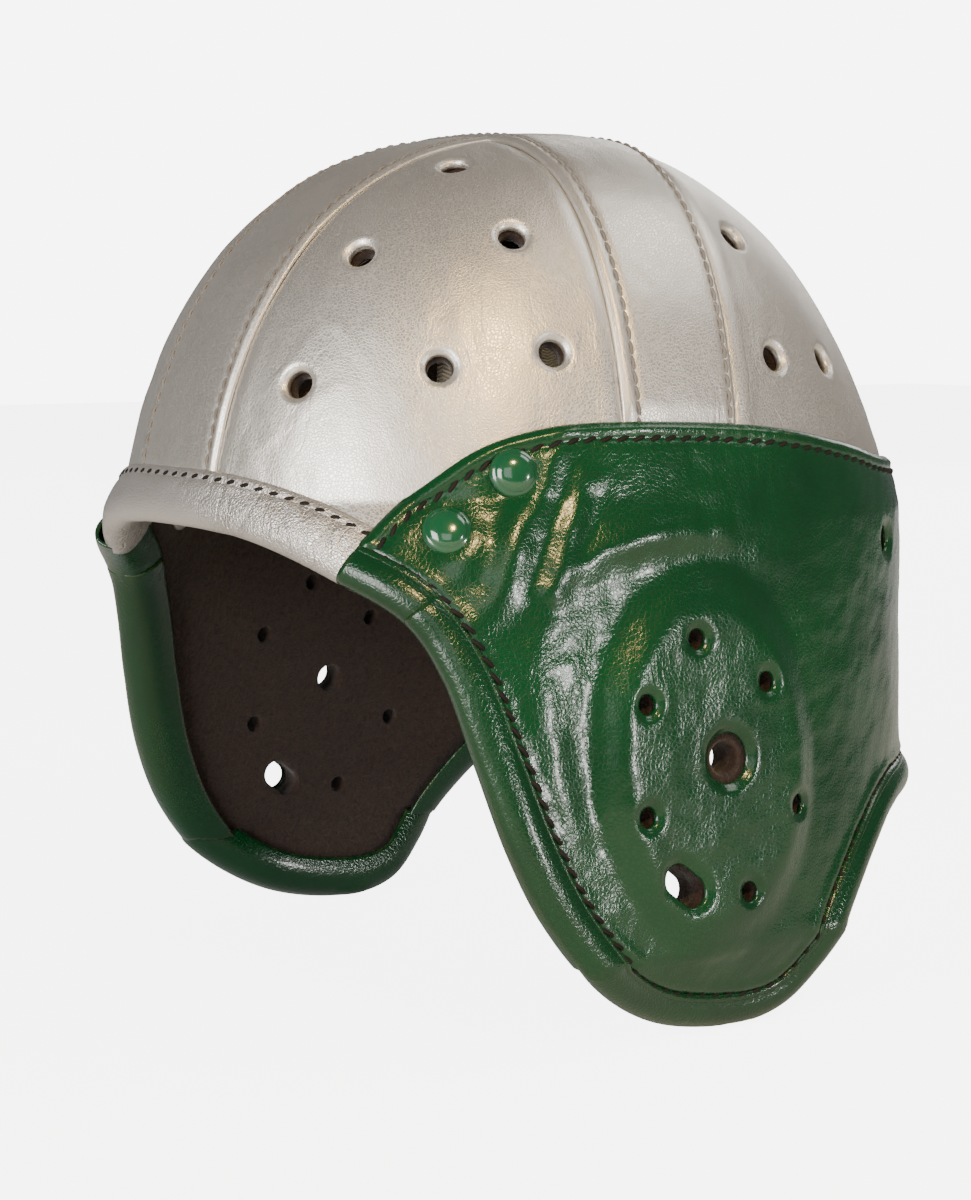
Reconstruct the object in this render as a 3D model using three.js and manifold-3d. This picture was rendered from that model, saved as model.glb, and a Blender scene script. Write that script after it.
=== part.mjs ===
// Vintage leather football helmet: a ribbed, vented crown, side panels that run
// down into ear flaps, rolled bindings, felt lining, riveted webbing and sweatband.
// Millimetres, +Z up. The wearer faces -Y and the wearer's left is +X. The origin is
// at the centre of the head opening, level with the lower edge of the brow.

import * as THREE from 'three';
import { ParametricGeometry } from 'three/addons/geometries/ParametricGeometry.js';
import { mergeVertices } from 'three/addons/utils/BufferGeometryUtils.js';
import Module from 'manifold-3d';

const wasm = await Module();
wasm.setup();

// ---- driving dimensions: the head form -------------------------------------
const HALF_WIDTH = 96.5;          // crown, centre line to side, at its widest level
const FRONT_REACH = 115.3;        // crown, centre line to brow, at its widest level
const BACK_REACH = 116;           // crown, centre line to back, at its widest level
const WIDEST_Z = -30;             // level where the crown's curve would turn vertical
const CROWN_TOP_Z = 103.3;        // top of the crown's leather
const PLAN_POWER = 2.27;          // superellipse power of the crown seen from above
const SIDE_PROFILE = { power: 3.18, taper: 0.2 };
const FRONT_PROFILE = { power: 2.45, taper: 0.03 };
const BACK_PROFILE = { power: 2.16, taper: 0.1 };

// ---- driving dimensions: the wall below the crown ---------------------------
const FLAP_SPLAY = 11;            // how far the flaps stand out beyond the crown
const FLAP_SPLAY_Z = -108;        // level of the widest splay
const FLAP_TIP_SPLAY = 2.5;       // what is left of it at the tip, which curls in
const FLAP_TIP_Z = -130;          // lowest point of the flaps
const NAPE_Z = -79;               // lower edge at the back
const NAPE_TUCK = 4.5;            // how far the back wall draws in above the nape
const CHEEK_POWER = 5;            // how square the plan is at the front of the flaps
const EAR_DOME = 4;               // height of the moulded dome over the ear
const EAR_DOME_AT = { y: -9, z: -58, halfWide: 42, halfTall: 52 };

// ---- driving dimensions: the layers -----------------------------------------
const LEATHER = 2.2;              // thickness of crown and side leather
const CROWN_FELT = 4;
const BINDING = 1.5;              // thickness of the rolled binding's leather
const BINDING_WIDTH = 9.5;        // width of the roll on the face
const GAP = 0.3;                  // clearance between neighbouring pieces
const LAP = 8;                    // how far the side panel covers the crown's edge
const LINING_FACE = -(LEATHER + GAP + CROWN_FELT);   // inner face of all the felt

// ---- driving dimensions: strips, holes, hardware, lining ---------------------
const TOP_STRIP = { wideLow: 40.9, wideHigh: 36.9 };
const CROSS_STRIP = { midLow: -12.3, midHigh: -3, wideLow: 33.8, wideHigh: 37.5 };
const VENT_RADIUS = 4;
const EAR_HOLE_RADIUS = 7;
const SMALL_HOLE_RADIUS = 3;
const STRAP_SLOT = { y: -22, z: -90.5, length: 15, width: 9, tilt: -38 };
const RIVET_CAP_RADIUS = 6.2;
const RIVET_CAP_HEIGHT = 2.8;
const RIVET_CAP_RIM = 0.6;         // height of the cap's straight rim
const RIVET_POST_RADIUS = 1.8;
const RIVET_BACK_RADIUS = 5;
const RIVET_BACK_THICK = 1.2;
const RIVET_BACK_CLEARANCE = 1.1;  // from the webbing's inner face to the washer
const RIVET_SEAT = 1.6;           // from the side leather's outer form line to the cap
const SWEATBAND_THICK = 4;
const SWEATBAND_Z = { low: 6, high: 38 };
const SWEATBAND_HALF_ANGLE = 34;  // degrees each side of the brow's middle
const WEBBING = { width: 26, thick: 1.4, drop: 12, crossing: 2, endZ: -4 };
const BACK_SEAM = { width: 16, thick: 1.5 };

// ---- driving dimensions: the flap's flex line --------------------------------
const FLEX_FRONT = { y: -88, z: -19 };   // where the line meets the front edge
const FLEX_REAR = { y: 48, z: -63.2 };   // where it turns down to the nape's notch
const FLEX_NOTCH = { y: 63, z: -100 };   // a point below the notch
const FLEX_GAP = 4;

// Positions on the wall as [degrees round from the brow's middle, level].
const FRONT_VENTS = [[26.1, 70.2], [53.9, 74.8], [22.1, 37.2], [42.9, 41.5], [60.9, 45.1], [36.6, 94]];
const REAR_VENTS = [[113.9, 75.3], [143, 71], [110.1, 43.1], [126.7, 41.9], [150, 39], [133, 94]];
const BACK_HOLE = [132.4, -8.2];
const RIVETS = { upper: [54, 14.8], lower: [45.3, 0.6] };
const SMALL_HOLES = [[17.5, -74], [-1, -94.5], [-33, -72], [-31, -43.8], [-14, -28.4], [8.3, -41]];
const EAR_HOLE = [-6, -59.5];

// Lower edge of the helmet seen from the side, as [y, z], brow to nape.
const LOWER_EDGE = [
  [-140, 1.5], [-118, 1], [-111, -0.2], [-99, -10], [-87.5, -20.5], [-81, -35],
  [-76.3, -54], [-69.8, -77], [-60.5, -96.5], [-46, -113.5], [-25, -125.5],
  [0, FLAP_TIP_Z], [17, -127.3], [29, -117], [40, -102.5], [52, -89.5],
  [63, -82], [80, NAPE_Z - 0.5], [140, NAPE_Z],
];
// Seam where the side panel's folded top edge lies on the crown, as [y, z].
const SIDE_SEAM = [
  [-140, -42], [-108, -24], [-98, -9], [-89, 1.6], [-78, 11.2], [-63.6, 21], [-45.9, 25.7],
  [-25, 26.6], [8.5, 25.3], [30.8, 22.6], [53.7, 18.4], [80, 13.5], [140, 9.5],
];
const BROW_END_Y = -98;           // where the silver binding meets the green one

// ---- mesh resolution ----------------------------------------------------------
const AROUND = 32;
const DOME_LEVELS = 6;
const WALL_STEP = 20;
const EDGE_SAMPLES = 36;
const HOLE_SIDES = 8;
const TURNED_SIDES = 10;
const FAR = 160;                  // beyond every surface of the helmet

// ---- small helpers --------------------------------------------------------------
const radians = THREE.MathUtils.degToRad;

function blend(z, stops) {
  // Straight-line interpolation through [level, value] stops, highest level first.
  if (z >= stops[0][0]) return stops[0][1];
  for (let i = 1; i < stops.length; i++) {
    const [zHigh, vHigh] = stops[i - 1];
    const [zLow, vLow] = stops[i];
    if (z >= zLow) return THREE.MathUtils.mapLinear(z, zHigh, zLow, vHigh, vLow);
  }
  return stops[stops.length - 1][1];
}

function toSolid(geometry) {
  const bare = geometry.clone();
  bare.deleteAttribute('normal');
  bare.deleteAttribute('uv');
  const merged = mergeVertices(bare, 1e-4);
  const index = merged.index.array;
  const faces = [];
  for (let i = 0; i < index.length; i += 3) {
    const [a, b, c] = [index[i], index[i + 1], index[i + 2]];
    if (a !== b && b !== c && c !== a) faces.push(a, b, c);
  }
  const mesh = new wasm.Mesh({
    numProp: 3,
    vertProperties: new Float32Array(merged.attributes.position.array),
    triVerts: new Uint32Array(faces),
  });
  return new wasm.Manifold(mesh);
}

function toGeometry(solid) {
  const mesh = solid.getMesh();
  const geometry = new THREE.BufferGeometry();
  geometry.setAttribute('position', new THREE.BufferAttribute(mesh.vertProperties, 3));
  geometry.setIndex(new THREE.BufferAttribute(mesh.triVerts, 1));
  geometry.computeVertexNormals();
  return geometry;
}

// ---- the head form: one formula for every layer ----------------------------------
function profile(level, { power, taper }) {
  return (1 - level ** power) ** (1 / power) * (1 - taper * level);
}

function planAt(z, offset, drop) {
  // Half width, front reach and back reach of the layer at this level.
  const crownLevel = (Math.max(z, 0) - WIDEST_Z) / (CROWN_TOP_Z + offset - drop - WIDEST_Z);
  const level = Math.min(crownLevel, 1);
  const splay = blend(z, [[0, 0], [FLAP_SPLAY_Z, FLAP_SPLAY], [FLAP_TIP_Z, FLAP_TIP_SPLAY]]);
  const tuck = blend(z, [[0, 0], [NAPE_Z + 9, NAPE_TUCK], [NAPE_Z - 5, NAPE_TUCK / 2]]);
  return {
    side: (HALF_WIDTH + offset) * profile(level, SIDE_PROFILE) + splay,
    front: (FRONT_REACH + offset) * profile(level, FRONT_PROFILE),
    back: (BACK_REACH + offset) * profile(level, BACK_PROFILE) - tuck,
    frontPower: blend(z, [[8, PLAN_POWER], [-15, 2.9], [-35, 3.4], [-55, 3.8], [-95, CHEEK_POWER]]),
  };
}

function earDome(y, z) {
  const across = (y - EAR_DOME_AT.y) / EAR_DOME_AT.halfWide;
  const up = (z - EAR_DOME_AT.z) / EAR_DOME_AT.halfTall;
  const rise = THREE.MathUtils.clamp(1 - Math.hypot(across, up), 0, 0.25) / 0.25;
  return EAR_DOME * THREE.MathUtils.smoothstep(rise, 0, 1);
}

function surfacePoint(angle, z, offset, drop = 0) {
  // angle is measured round from the brow's middle, towards the wearer's left.
  const plan = planAt(z, offset, drop);
  const sx = Math.sin(angle);
  const sy = -Math.cos(angle);
  const reach = sy < 0 ? plan.front : plan.back;
  const power = sy < 0 ? plan.frontPower : PLAN_POWER;
  if (plan.side < 1e-6) return new THREE.Vector3(0, 0, z);
  const sum = (Math.abs(sx) / plan.side) ** power + (Math.abs(sy) / reach) ** power;
  const radius = sum ** (-1 / power);
  const dome = earDome(radius * sy, z) * Math.abs(sx);
  return new THREE.Vector3((radius + dome) * sx, (radius + dome) * sy, z);
}

function surfaceNormal(angle, z) {
  const step = 0.5;
  const turn = radians(0.5);
  const round = surfacePoint(angle + turn, z, 0).sub(surfacePoint(angle - turn, z, 0));
  const up = surfacePoint(angle, z + step, 0).sub(surfacePoint(angle, z - step, 0));
  return round.cross(up).normalize();
}

function formSolid(offset, wallSteps, drop) {
  // Everything inside the layer at this offset, from below the flaps to the crown's top,
  // which a slack layer such as the webbing carries lower by its drop.
  const top = CROWN_TOP_Z + offset - drop;
  const floorZ = -wallSteps * WALL_STEP;
  const levels = [];
  for (let i = wallSteps; i > 0; i--) levels.push(-i * WALL_STEP);
  for (let i = 0; i <= DOME_LEVELS; i++) levels.push(top * Math.sin((Math.PI / 2) * (i / DOME_LEVELS)));
  const stacks = levels.length;
  const place = (u, v, target) => {
    const row = Math.round(v * stacks);
    if (row === 0) return target.set(0, 0, floorZ);
    return target.copy(surfacePoint(2 * Math.PI * u, levels[row - 1], offset, drop));
  };
  const form = new ParametricGeometry(place, AROUND, stacks);
  form.setIndex(mirroredFaces(AROUND, stacks));
  return toSolid(form);
}

function mirroredFaces(slices, stacks) {
  // Splits the quads of the right half along the other diagonal, so that the facets
  // of the two halves are mirror images.
  const faces = [];
  for (let row = 0; row < stacks; row++) {
    for (let i = 0; i < slices; i++) {
      const a = row * (slices + 1) + i;
      const b = a + 1;
      const d = a + slices + 1;
      const c = d + 1;
      faces.push(...(i < slices / 2 ? [a, b, d, b, c, d] : [a, b, c, a, c, d]));
    }
  }
  return faces;
}

function layer(outer, inner, drop = 0) {
  const wallSteps = Math.ceil((4 - FLAP_TIP_Z) / WALL_STEP);
  return formSolid(outer, wallSteps, drop).subtract(formSolid(inner, wallSteps + 1, drop));
}

// ---- cutters drawn in the side view, extruded across the helmet -------------------
function sidePrism(points, xFrom = -FAR, xTo = FAR) {
  const shape = new THREE.Shape(points.map(([y, z]) => new THREE.Vector2(y, z)));
  const prism = new THREE.ExtrudeGeometry(shape, { depth: xTo - xFrom, bevelEnabled: false });
  const turn = new THREE.Matrix4().makeBasis(
    new THREE.Vector3(0, 1, 0), new THREE.Vector3(0, 0, 1), new THREE.Vector3(1, 0, 0));
  prism.applyMatrix4(turn);
  prism.translate(xFrom, 0, 0);
  return toSolid(prism);
}

function smoothLine(points, samples) {
  const curve = new THREE.SplineCurve(points.map(([y, z]) => new THREE.Vector2(y, z)));
  return curve.getSpacedPoints(samples);
}

function insetLine(line, inset) {
  // Moves each point of a left-to-right line up along its own normal.
  return line.map((p, i) => {
    const before = line[Math.max(i - 1, 0)];
    const after = line[Math.min(i + 1, line.length - 1)];
    const along = after.clone().sub(before).normalize();
    return [p.x - along.y * inset, p.y + along.x * inset];
  });
}

function aboveEdge(inset) {
  const line = insetLine(smoothLine(LOWER_EDGE, EDGE_SAMPLES), inset);
  return sidePrism([...line, [FAR, line[line.length - 1][1]], [FAR, FAR], [-FAR, FAR], [-FAR, line[0][1]]]);
}

function aboveSeam(lowered) {
  const line = smoothLine(SIDE_SEAM, EDGE_SAMPLES / 2).map((p) => [p.x, p.y - lowered]);
  return sidePrism([...line, [FAR, line[line.length - 1][1]], [FAR, FAR], [-FAR, FAR], [-FAR, line[0][1]]]);
}

function belowFlex(clearance) {
  // The flap's side of the flex line, kept this far from it.
  const slope = (FLEX_REAR.z - FLEX_FRONT.z) / (FLEX_REAR.y - FLEX_FRONT.y);
  const drop = clearance * Math.hypot(1, slope);
  const startZ = FLEX_FRONT.z + slope * (-FAR - FLEX_FRONT.y);
  const notchSlope = (FLEX_NOTCH.y - FLEX_REAR.y) / (FLEX_NOTCH.z - FLEX_REAR.z);
  const floorY = FLEX_REAR.y + notchSlope * (-FAR - FLEX_REAR.z);
  return sidePrism([
    [-FAR, -FAR], [floorY - clearance, -FAR], [FLEX_REAR.y - clearance, FLEX_REAR.z - drop],
    [-FAR, startZ - drop],
  ]);
}

function half(side, gap) {
  // The left (+1) or right (-1) half of space, kept gap away from the middle plane.
  const box = new THREE.BoxGeometry(FAR, 2 * FAR, 3 * FAR);
  box.translate(side * (FAR / 2 + gap), 0, 0);
  return toSolid(box);
}

function endBox(yFrom, yTo) {
  const box = new THREE.BoxGeometry(2 * FAR, yTo - yFrom, 3 * FAR);
  box.translate(0, (yFrom + yTo) / 2, 0);
  return toSolid(box);
}

function topStripCutter(grow) {
  const low = TOP_STRIP.wideLow / 2 + grow;
  const high = TOP_STRIP.wideHigh / 2 + grow;
  const lean = (low - high) / (CROWN_TOP_Z - WIDEST_Z);
  const farLow = low + lean * FAR;
  const farHigh = high - lean * (FAR - CROWN_TOP_Z);
  const shape = new THREE.Shape([
    new THREE.Vector2(-farLow, WIDEST_Z - FAR), new THREE.Vector2(farLow, WIDEST_Z - FAR),
    new THREE.Vector2(farHigh, FAR), new THREE.Vector2(-farHigh, FAR)]);
  const slab = new THREE.ExtrudeGeometry(shape, { depth: 2 * FAR, bevelEnabled: false });
  slab.applyMatrix4(new THREE.Matrix4().makeBasis(
    new THREE.Vector3(1, 0, 0), new THREE.Vector3(0, 0, 1), new THREE.Vector3(0, -1, 0)));
  slab.translate(0, FAR, 0);
  return toSolid(slab);
}

function crossStripCutter(grow) {
  const at = (z) => {
    const level = (z - WIDEST_Z) / (CROWN_TOP_Z - WIDEST_Z);
    const mid = THREE.MathUtils.lerp(CROSS_STRIP.midLow, CROSS_STRIP.midHigh, level);
    const wide = THREE.MathUtils.lerp(CROSS_STRIP.wideLow, CROSS_STRIP.wideHigh, level);
    return [mid - wide / 2 - grow, mid + wide / 2 + grow];
  };
  const [frontLow, rearLow] = at(-FAR);
  const [frontHigh, rearHigh] = at(FAR);
  return sidePrism([[frontLow, -FAR], [rearLow, -FAR], [rearHigh, FAR], [frontHigh, FAR]]);
}

// ---- holes ------------------------------------------------------------------------
function drillAt([degrees, z], radius, depth = 24) {
  const angle = radians(degrees);
  const drill = new THREE.CylinderGeometry(radius, radius, depth, HOLE_SIDES);
  drill.applyQuaternion(new THREE.Quaternion().setFromUnitVectors(
    new THREE.Vector3(0, 1, 0), surfaceNormal(angle, z)));
  drill.translate(...surfacePoint(angle, z, 0).toArray());
  return toSolid(drill);
}

function drillAcross([y, z], radius) {
  const drill = new THREE.CylinderGeometry(radius, radius, FAR, HOLE_SIDES);
  drill.rotateZ(Math.PI / 2);
  drill.translate(FAR / 2 + 30, y, z);
  return toSolid(drill);
}

function slotAcross() {
  const reach = (STRAP_SLOT.length - STRAP_SLOT.width) / 2;
  const shape = new THREE.Shape();
  shape.absarc(reach, 0, STRAP_SLOT.width / 2, -Math.PI / 2, Math.PI / 2);
  shape.absarc(-reach, 0, STRAP_SLOT.width / 2, Math.PI / 2, (3 * Math.PI) / 2);
  const turned = shape.getPoints(HOLE_SIDES / 2).map((p) => {
    p.rotateAround(new THREE.Vector2(), radians(STRAP_SLOT.tilt));
    return [p.x + STRAP_SLOT.y, p.y + STRAP_SLOT.z];
  });
  return sidePrism(turned, 30, FAR);
}

function mirrored(solid) {
  return solid.mirror([1, 0, 0]);
}

function bothSides(drills) {
  return drills.flatMap((drill) => [drill, mirrored(drill)]);
}

// ---- layers and shared cutters, made once --------------------------------------------
const crownLeather = layer(0, -LEATHER);
const crownFeltLayer = layer(-LEATHER - GAP, LINING_FACE);
const sideLeather = layer(GAP + LEATHER, GAP);
const sideFeltLayer = layer(0, LINING_FACE);
const core = aboveEdge(BINDING + GAP);
const crownRegion = core.intersect(aboveSeam(LAP));
const sideRegion = core.subtract(aboveSeam(0));
const sideFeltRegion = core.subtract(aboveSeam(LAP + GAP));
const flapRegion = belowFlex(FLEX_GAP / 2);
const fixedRegion = endBox(-FAR, FAR).subtract(belowFlex(-FLEX_GAP / 2));
const crownVents = bothSides([...FRONT_VENTS, ...REAR_VENTS].map((at) => drillAt(at, VENT_RADIUS)));
const sideHoles = [
  drillAcross(EAR_HOLE, EAR_HOLE_RADIUS), slotAcross(), drillAt(BACK_HOLE, VENT_RADIUS),
  ...SMALL_HOLES.map((at) => drillAcross(at, SMALL_HOLE_RADIUS)),
];
const rivetHoles = Object.values(RIVETS).map((at) => drillAt(at, RIVET_POST_RADIUS + GAP, 44));

function cut(solid, cutters) {
  return cutters.reduce((rest, cutter) => rest.subtract(cutter), solid);
}

// ---- crown ------------------------------------------------------------------------------
function crownPanel(isFront) {
  const behind = crossStripCutter(GAP / 2);
  const panelSide = half(1, 0).subtract(topStripCutter(GAP / 2)).subtract(behind);
  const cutMid = (CROSS_STRIP.midLow + CROSS_STRIP.midHigh) / 2;
  const end = isFront ? endBox(-FAR, cutMid) : endBox(cutMid, FAR);
  const leather = crownLeather.intersect(crownRegion).intersect(panelSide).intersect(end);
  return cut(leather, [...crownVents, ...rivetHoles]);
}

function topStrip(isFront) {
  const cutMid = (CROSS_STRIP.midLow + CROSS_STRIP.midHigh) / 2;
  const end = isFront ? endBox(-FAR, cutMid) : endBox(cutMid, FAR);
  const strip = crownLeather.intersect(crownRegion).intersect(topStripCutter(-GAP / 2));
  return strip.intersect(end).subtract(crossStripCutter(GAP / 2));
}

function crossStrip() {
  return crownLeather.intersect(crownRegion).intersect(crossStripCutter(-GAP / 2));
}

function crownFelt() {
  return cut(crownFeltLayer.intersect(crownRegion), [...crownVents, ...bothSides(rivetHoles)]);
}

// ---- side panels, flaps and their felt (wearer's left; the right is mirrored) ---------------
function sidePanel() {
  const leather = sideLeather.intersect(sideRegion).intersect(half(1, BACK_SEAM.width / 2 + GAP));
  return cut(leather.intersect(fixedRegion), [...sideHoles, ...rivetHoles]);
}

function earFlap() {
  return cut(sideLeather.intersect(sideRegion).intersect(half(1, 0)).intersect(flapRegion), sideHoles);
}

function sideFelt() {
  const felt = sideFeltLayer.intersect(sideFeltRegion).intersect(half(1, GAP));
  return cut(felt.intersect(fixedRegion), [...sideHoles, ...rivetHoles]);
}

function flapFelt() {
  const felt = sideFeltLayer.intersect(sideFeltRegion).intersect(half(1, GAP));
  return cut(felt.intersect(flapRegion), sideHoles);
}

function backSeamStrip() {
  const strip = new THREE.BoxGeometry(BACK_SEAM.width, FAR, 2 * FAR);
  strip.translate(0, FAR / 2 + 20, 0);
  const middle = layer(GAP + BACK_SEAM.thick, GAP).intersect(sideRegion);
  return middle.intersect(toSolid(strip));
}

// ---- bindings: leather folded round the edge -------------------------------------------------
function foldedEdge(faceOffset, innerOffset) {
  const wrap = layer(faceOffset + GAP + BINDING, innerOffset - GAP - BINDING);
  const band = aboveEdge(0).subtract(aboveEdge(BINDING_WIDTH));
  const held = layer(faceOffset + GAP, innerOffset - GAP).intersect(aboveEdge(BINDING));
  return wrap.intersect(band).subtract(held);
}

function browBinding() {
  const fold = foldedEdge(0, LINING_FACE);
  return fold.intersect(endBox(-FAR, BROW_END_Y - GAP));
}

const greenFold = foldedEdge(GAP + LEATHER, LINING_FACE);

function cornerBinding() {
  return greenFold.intersect(half(1, 0)).intersect(fixedRegion).intersect(endBox(BROW_END_Y, 0));
}

function flapBinding() {
  return greenFold.intersect(half(1, 0)).intersect(flapRegion);
}

function napeBinding() {
  return greenFold.intersect(fixedRegion).intersect(endBox(0, FAR));
}

// ---- rivets -------------------------------------------------------------------------------------
function onSurface(geometry, [degrees, z], offset) {
  const angle = radians(degrees);
  const normal = surfaceNormal(angle, z);
  geometry.applyQuaternion(new THREE.Quaternion().setFromUnitVectors(new THREE.Vector3(0, 1, 0), normal));
  const at = surfacePoint(angle, z, 0).addScaledVector(normal, offset);
  return geometry.translate(at.x, at.y, at.z);
}

function depthToLayer([degrees, z], offset, drop) {
  // How far in from the form, along its normal, the point at [degrees, z] meets another layer.
  const inward = surfaceNormal(radians(degrees), z).negate();
  const start = surfacePoint(radians(degrees), z, 0);
  let [near, far] = [0, FAR / 4];
  for (let i = 0; i < 40; i++) {
    const depth = (near + far) / 2;
    const at = start.clone().addScaledVector(inward, depth);
    const skin = surfacePoint(Math.atan2(at.x, -at.y), at.z, offset, drop);
    if (Math.hypot(at.x, at.y) < Math.hypot(skin.x, skin.y)) far = depth;
    else near = depth;
  }
  return far;
}

// The washers sit inside both straps, wherever the slack in the webbing leaves them.
const WEBBING_OUTER = LINING_FACE - 2 * GAP;
const WEBBING_DROPS = { a: WEBBING.drop, b: WEBBING.drop + WEBBING.thick + WEBBING.crossing };
const RIVET_BACK_DEPTH = RIVET_BACK_CLEARANCE + Math.max(...Object.values(RIVETS).flatMap((at) => (
  Object.values(WEBBING_DROPS).map((drop) => depthToLayer(at, WEBBING_OUTER - WEBBING.thick, drop)))));

function rivet(at) {
  // A domed cap with its post, turned about the post.
  const seat = LEATHER + RIVET_SEAT;
  const depth = seat + RIVET_BACK_DEPTH + RIVET_BACK_THICK;
  const profilePoints = [[0, -depth], [RIVET_POST_RADIUS, -depth], [RIVET_POST_RADIUS, 0], [RIVET_CAP_RADIUS, 0]];
  for (let i = 1; i <= 4; i++) {
    const a = (Math.PI / 2) * (i / 4);
    profilePoints.push([RIVET_CAP_RADIUS * Math.cos(a),
      RIVET_CAP_RIM + (RIVET_CAP_HEIGHT - RIVET_CAP_RIM) * Math.sin(a)]);
  }
  profilePoints[profilePoints.length - 1][0] = 0;
  const lathe = new THREE.LatheGeometry(profilePoints.map(([r, h]) => new THREE.Vector2(r, h)), TURNED_SIDES);
  return toSolid(onSurface(lathe, at, seat));
}

function rivetBack(at) {
  const washer = new THREE.LatheGeometry([
    new THREE.Vector2(RIVET_POST_RADIUS + GAP, 0),
    new THREE.Vector2(RIVET_BACK_RADIUS, 0),
    new THREE.Vector2(RIVET_BACK_RADIUS, RIVET_BACK_THICK),
    new THREE.Vector2(RIVET_POST_RADIUS + GAP, RIVET_BACK_THICK),
    new THREE.Vector2(RIVET_POST_RADIUS + GAP, 0),
  ], TURNED_SIDES);
  return toSolid(onSurface(washer, at, -RIVET_BACK_DEPTH - RIVET_BACK_THICK));
}

// ---- sweatband and webbing ---------------------------------------------------------------------------
function sweatband() {
  const outer = -LEATHER - CROWN_FELT - WEBBING.thick - 3 * GAP;
  const band = layer(outer, outer - SWEATBAND_THICK);
  const reach = FAR * Math.tan(radians(90 - SWEATBAND_HALF_ANGLE));
  const wedge = new THREE.Shape([new THREE.Vector2(0, 0), new THREE.Vector2(-FAR, -reach),
    new THREE.Vector2(FAR, -reach)]);
  const depth = SWEATBAND_Z.high - SWEATBAND_Z.low;
  const region = new THREE.ExtrudeGeometry(wedge, { depth, bevelEnabled: false });
  region.translate(0, 0, SWEATBAND_Z.low);
  return band.intersect(toSolid(region));
}

function webbing(side, drop) {
  // A flat strap that spans the crown on a diagonal, slack below the felt.
  const sheet = layer(WEBBING_OUTER, WEBBING_OUTER - WEBBING.thick, drop);
  const slab = new THREE.BoxGeometry(WEBBING.width, 2 * FAR, FAR);
  slab.rotateZ(side * radians((RIVETS.upper[0] + RIVETS.lower[0]) / 2));
  slab.translate(0, 0, FAR / 2 + WEBBING.endZ);
  const posts = side > 0 ? rivetHoles : rivetHoles.map(mirrored);
  return cut(sheet.intersect(toSolid(slab)), posts);
}

// ---- materials ------------------------------------------------------------------------------------------
const FINISHES = {
  silver: { color: 0xb9b2a6, roughness: 0.42, metalness: 0.55 },
  green: { color: 0x14542f, roughness: 0.28, metalness: 0.0 },
  felt: { color: 0x2b211b, roughness: 0.95, metalness: 0.0 },
  enamel: { color: 0x1b6a3c, roughness: 0.18, metalness: 0.2 },
  steel: { color: 0x8c8a84, roughness: 0.4, metalness: 0.9 },
  webbing: { color: 0xcabf9f, roughness: 0.85, metalness: 0.0 },
  band: { color: 0x4a3224, roughness: 0.6, metalness: 0.0 },
};

const helmet = new THREE.Group();

function addPiece(name, finish, solid) {
  const mesh = new THREE.Mesh(toGeometry(solid), new THREE.MeshStandardMaterial(FINISHES[finish]));
  mesh.name = name;
  helmet.add(mesh);
}

function addPair(name, finish, leftSolid) {
  addPiece(`${name}_left`, finish, leftSolid);
  addPiece(`${name}_right`, finish, mirrored(leftSolid));
}

addPair('crown_panel_front', 'silver', crownPanel(true));
addPair('crown_panel_rear', 'silver', crownPanel(false));
addPiece('top_strip_front', 'silver', topStrip(true));
addPiece('top_strip_rear', 'silver', topStrip(false));
addPiece('cross_strip', 'silver', crossStrip());
addPiece('crown_felt', 'felt', crownFelt());
addPiece('brow_binding', 'silver', browBinding());
addPair('corner_binding', 'green', cornerBinding());
addPair('side_panel', 'green', sidePanel());
addPair('side_felt', 'felt', sideFelt());
addPair('ear_flap', 'green', earFlap());
addPair('flap_felt', 'felt', flapFelt());
addPair('flap_binding', 'green', flapBinding());
addPiece('nape_binding', 'green', napeBinding());
addPiece('back_seam_strip', 'green', backSeamStrip());
for (const [place, at] of Object.entries(RIVETS)) {
  addPair(`rivet_${place}`, 'enamel', rivet(at));
  addPair(`rivet_back_${place}`, 'steel', rivetBack(at));
}
addPiece('sweatband', 'band', sweatband());
addPiece('webbing_strap_a', 'webbing', webbing(1, WEBBING_DROPS.a));
addPiece('webbing_strap_b', 'webbing', webbing(-1, WEBBING_DROPS.b));

export default helmet;
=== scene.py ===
# %% [markdown]
# # A vintage leather football helmet
# This lesson dresses a plain mechanical model of a leather helmet. The crown is four
# silver-painted quadrants joined by a front-to-back strip and an ear-to-ear strip. Green
# lacquered side leathers run down into the ear flaps. Rolled bindings close every edge,
# thread holds the seams, and four enamelled rivets hold the webbing inside.
#
# Most pieces made here ride on the root body. The side leathers, linings and flap
# bindings, with their stitches, are left unattached.

# %% Load the frame
import math
import bpy
import numpy as np
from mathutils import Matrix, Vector
from mathutils.geometry import delaunay_2d_cdt


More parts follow.
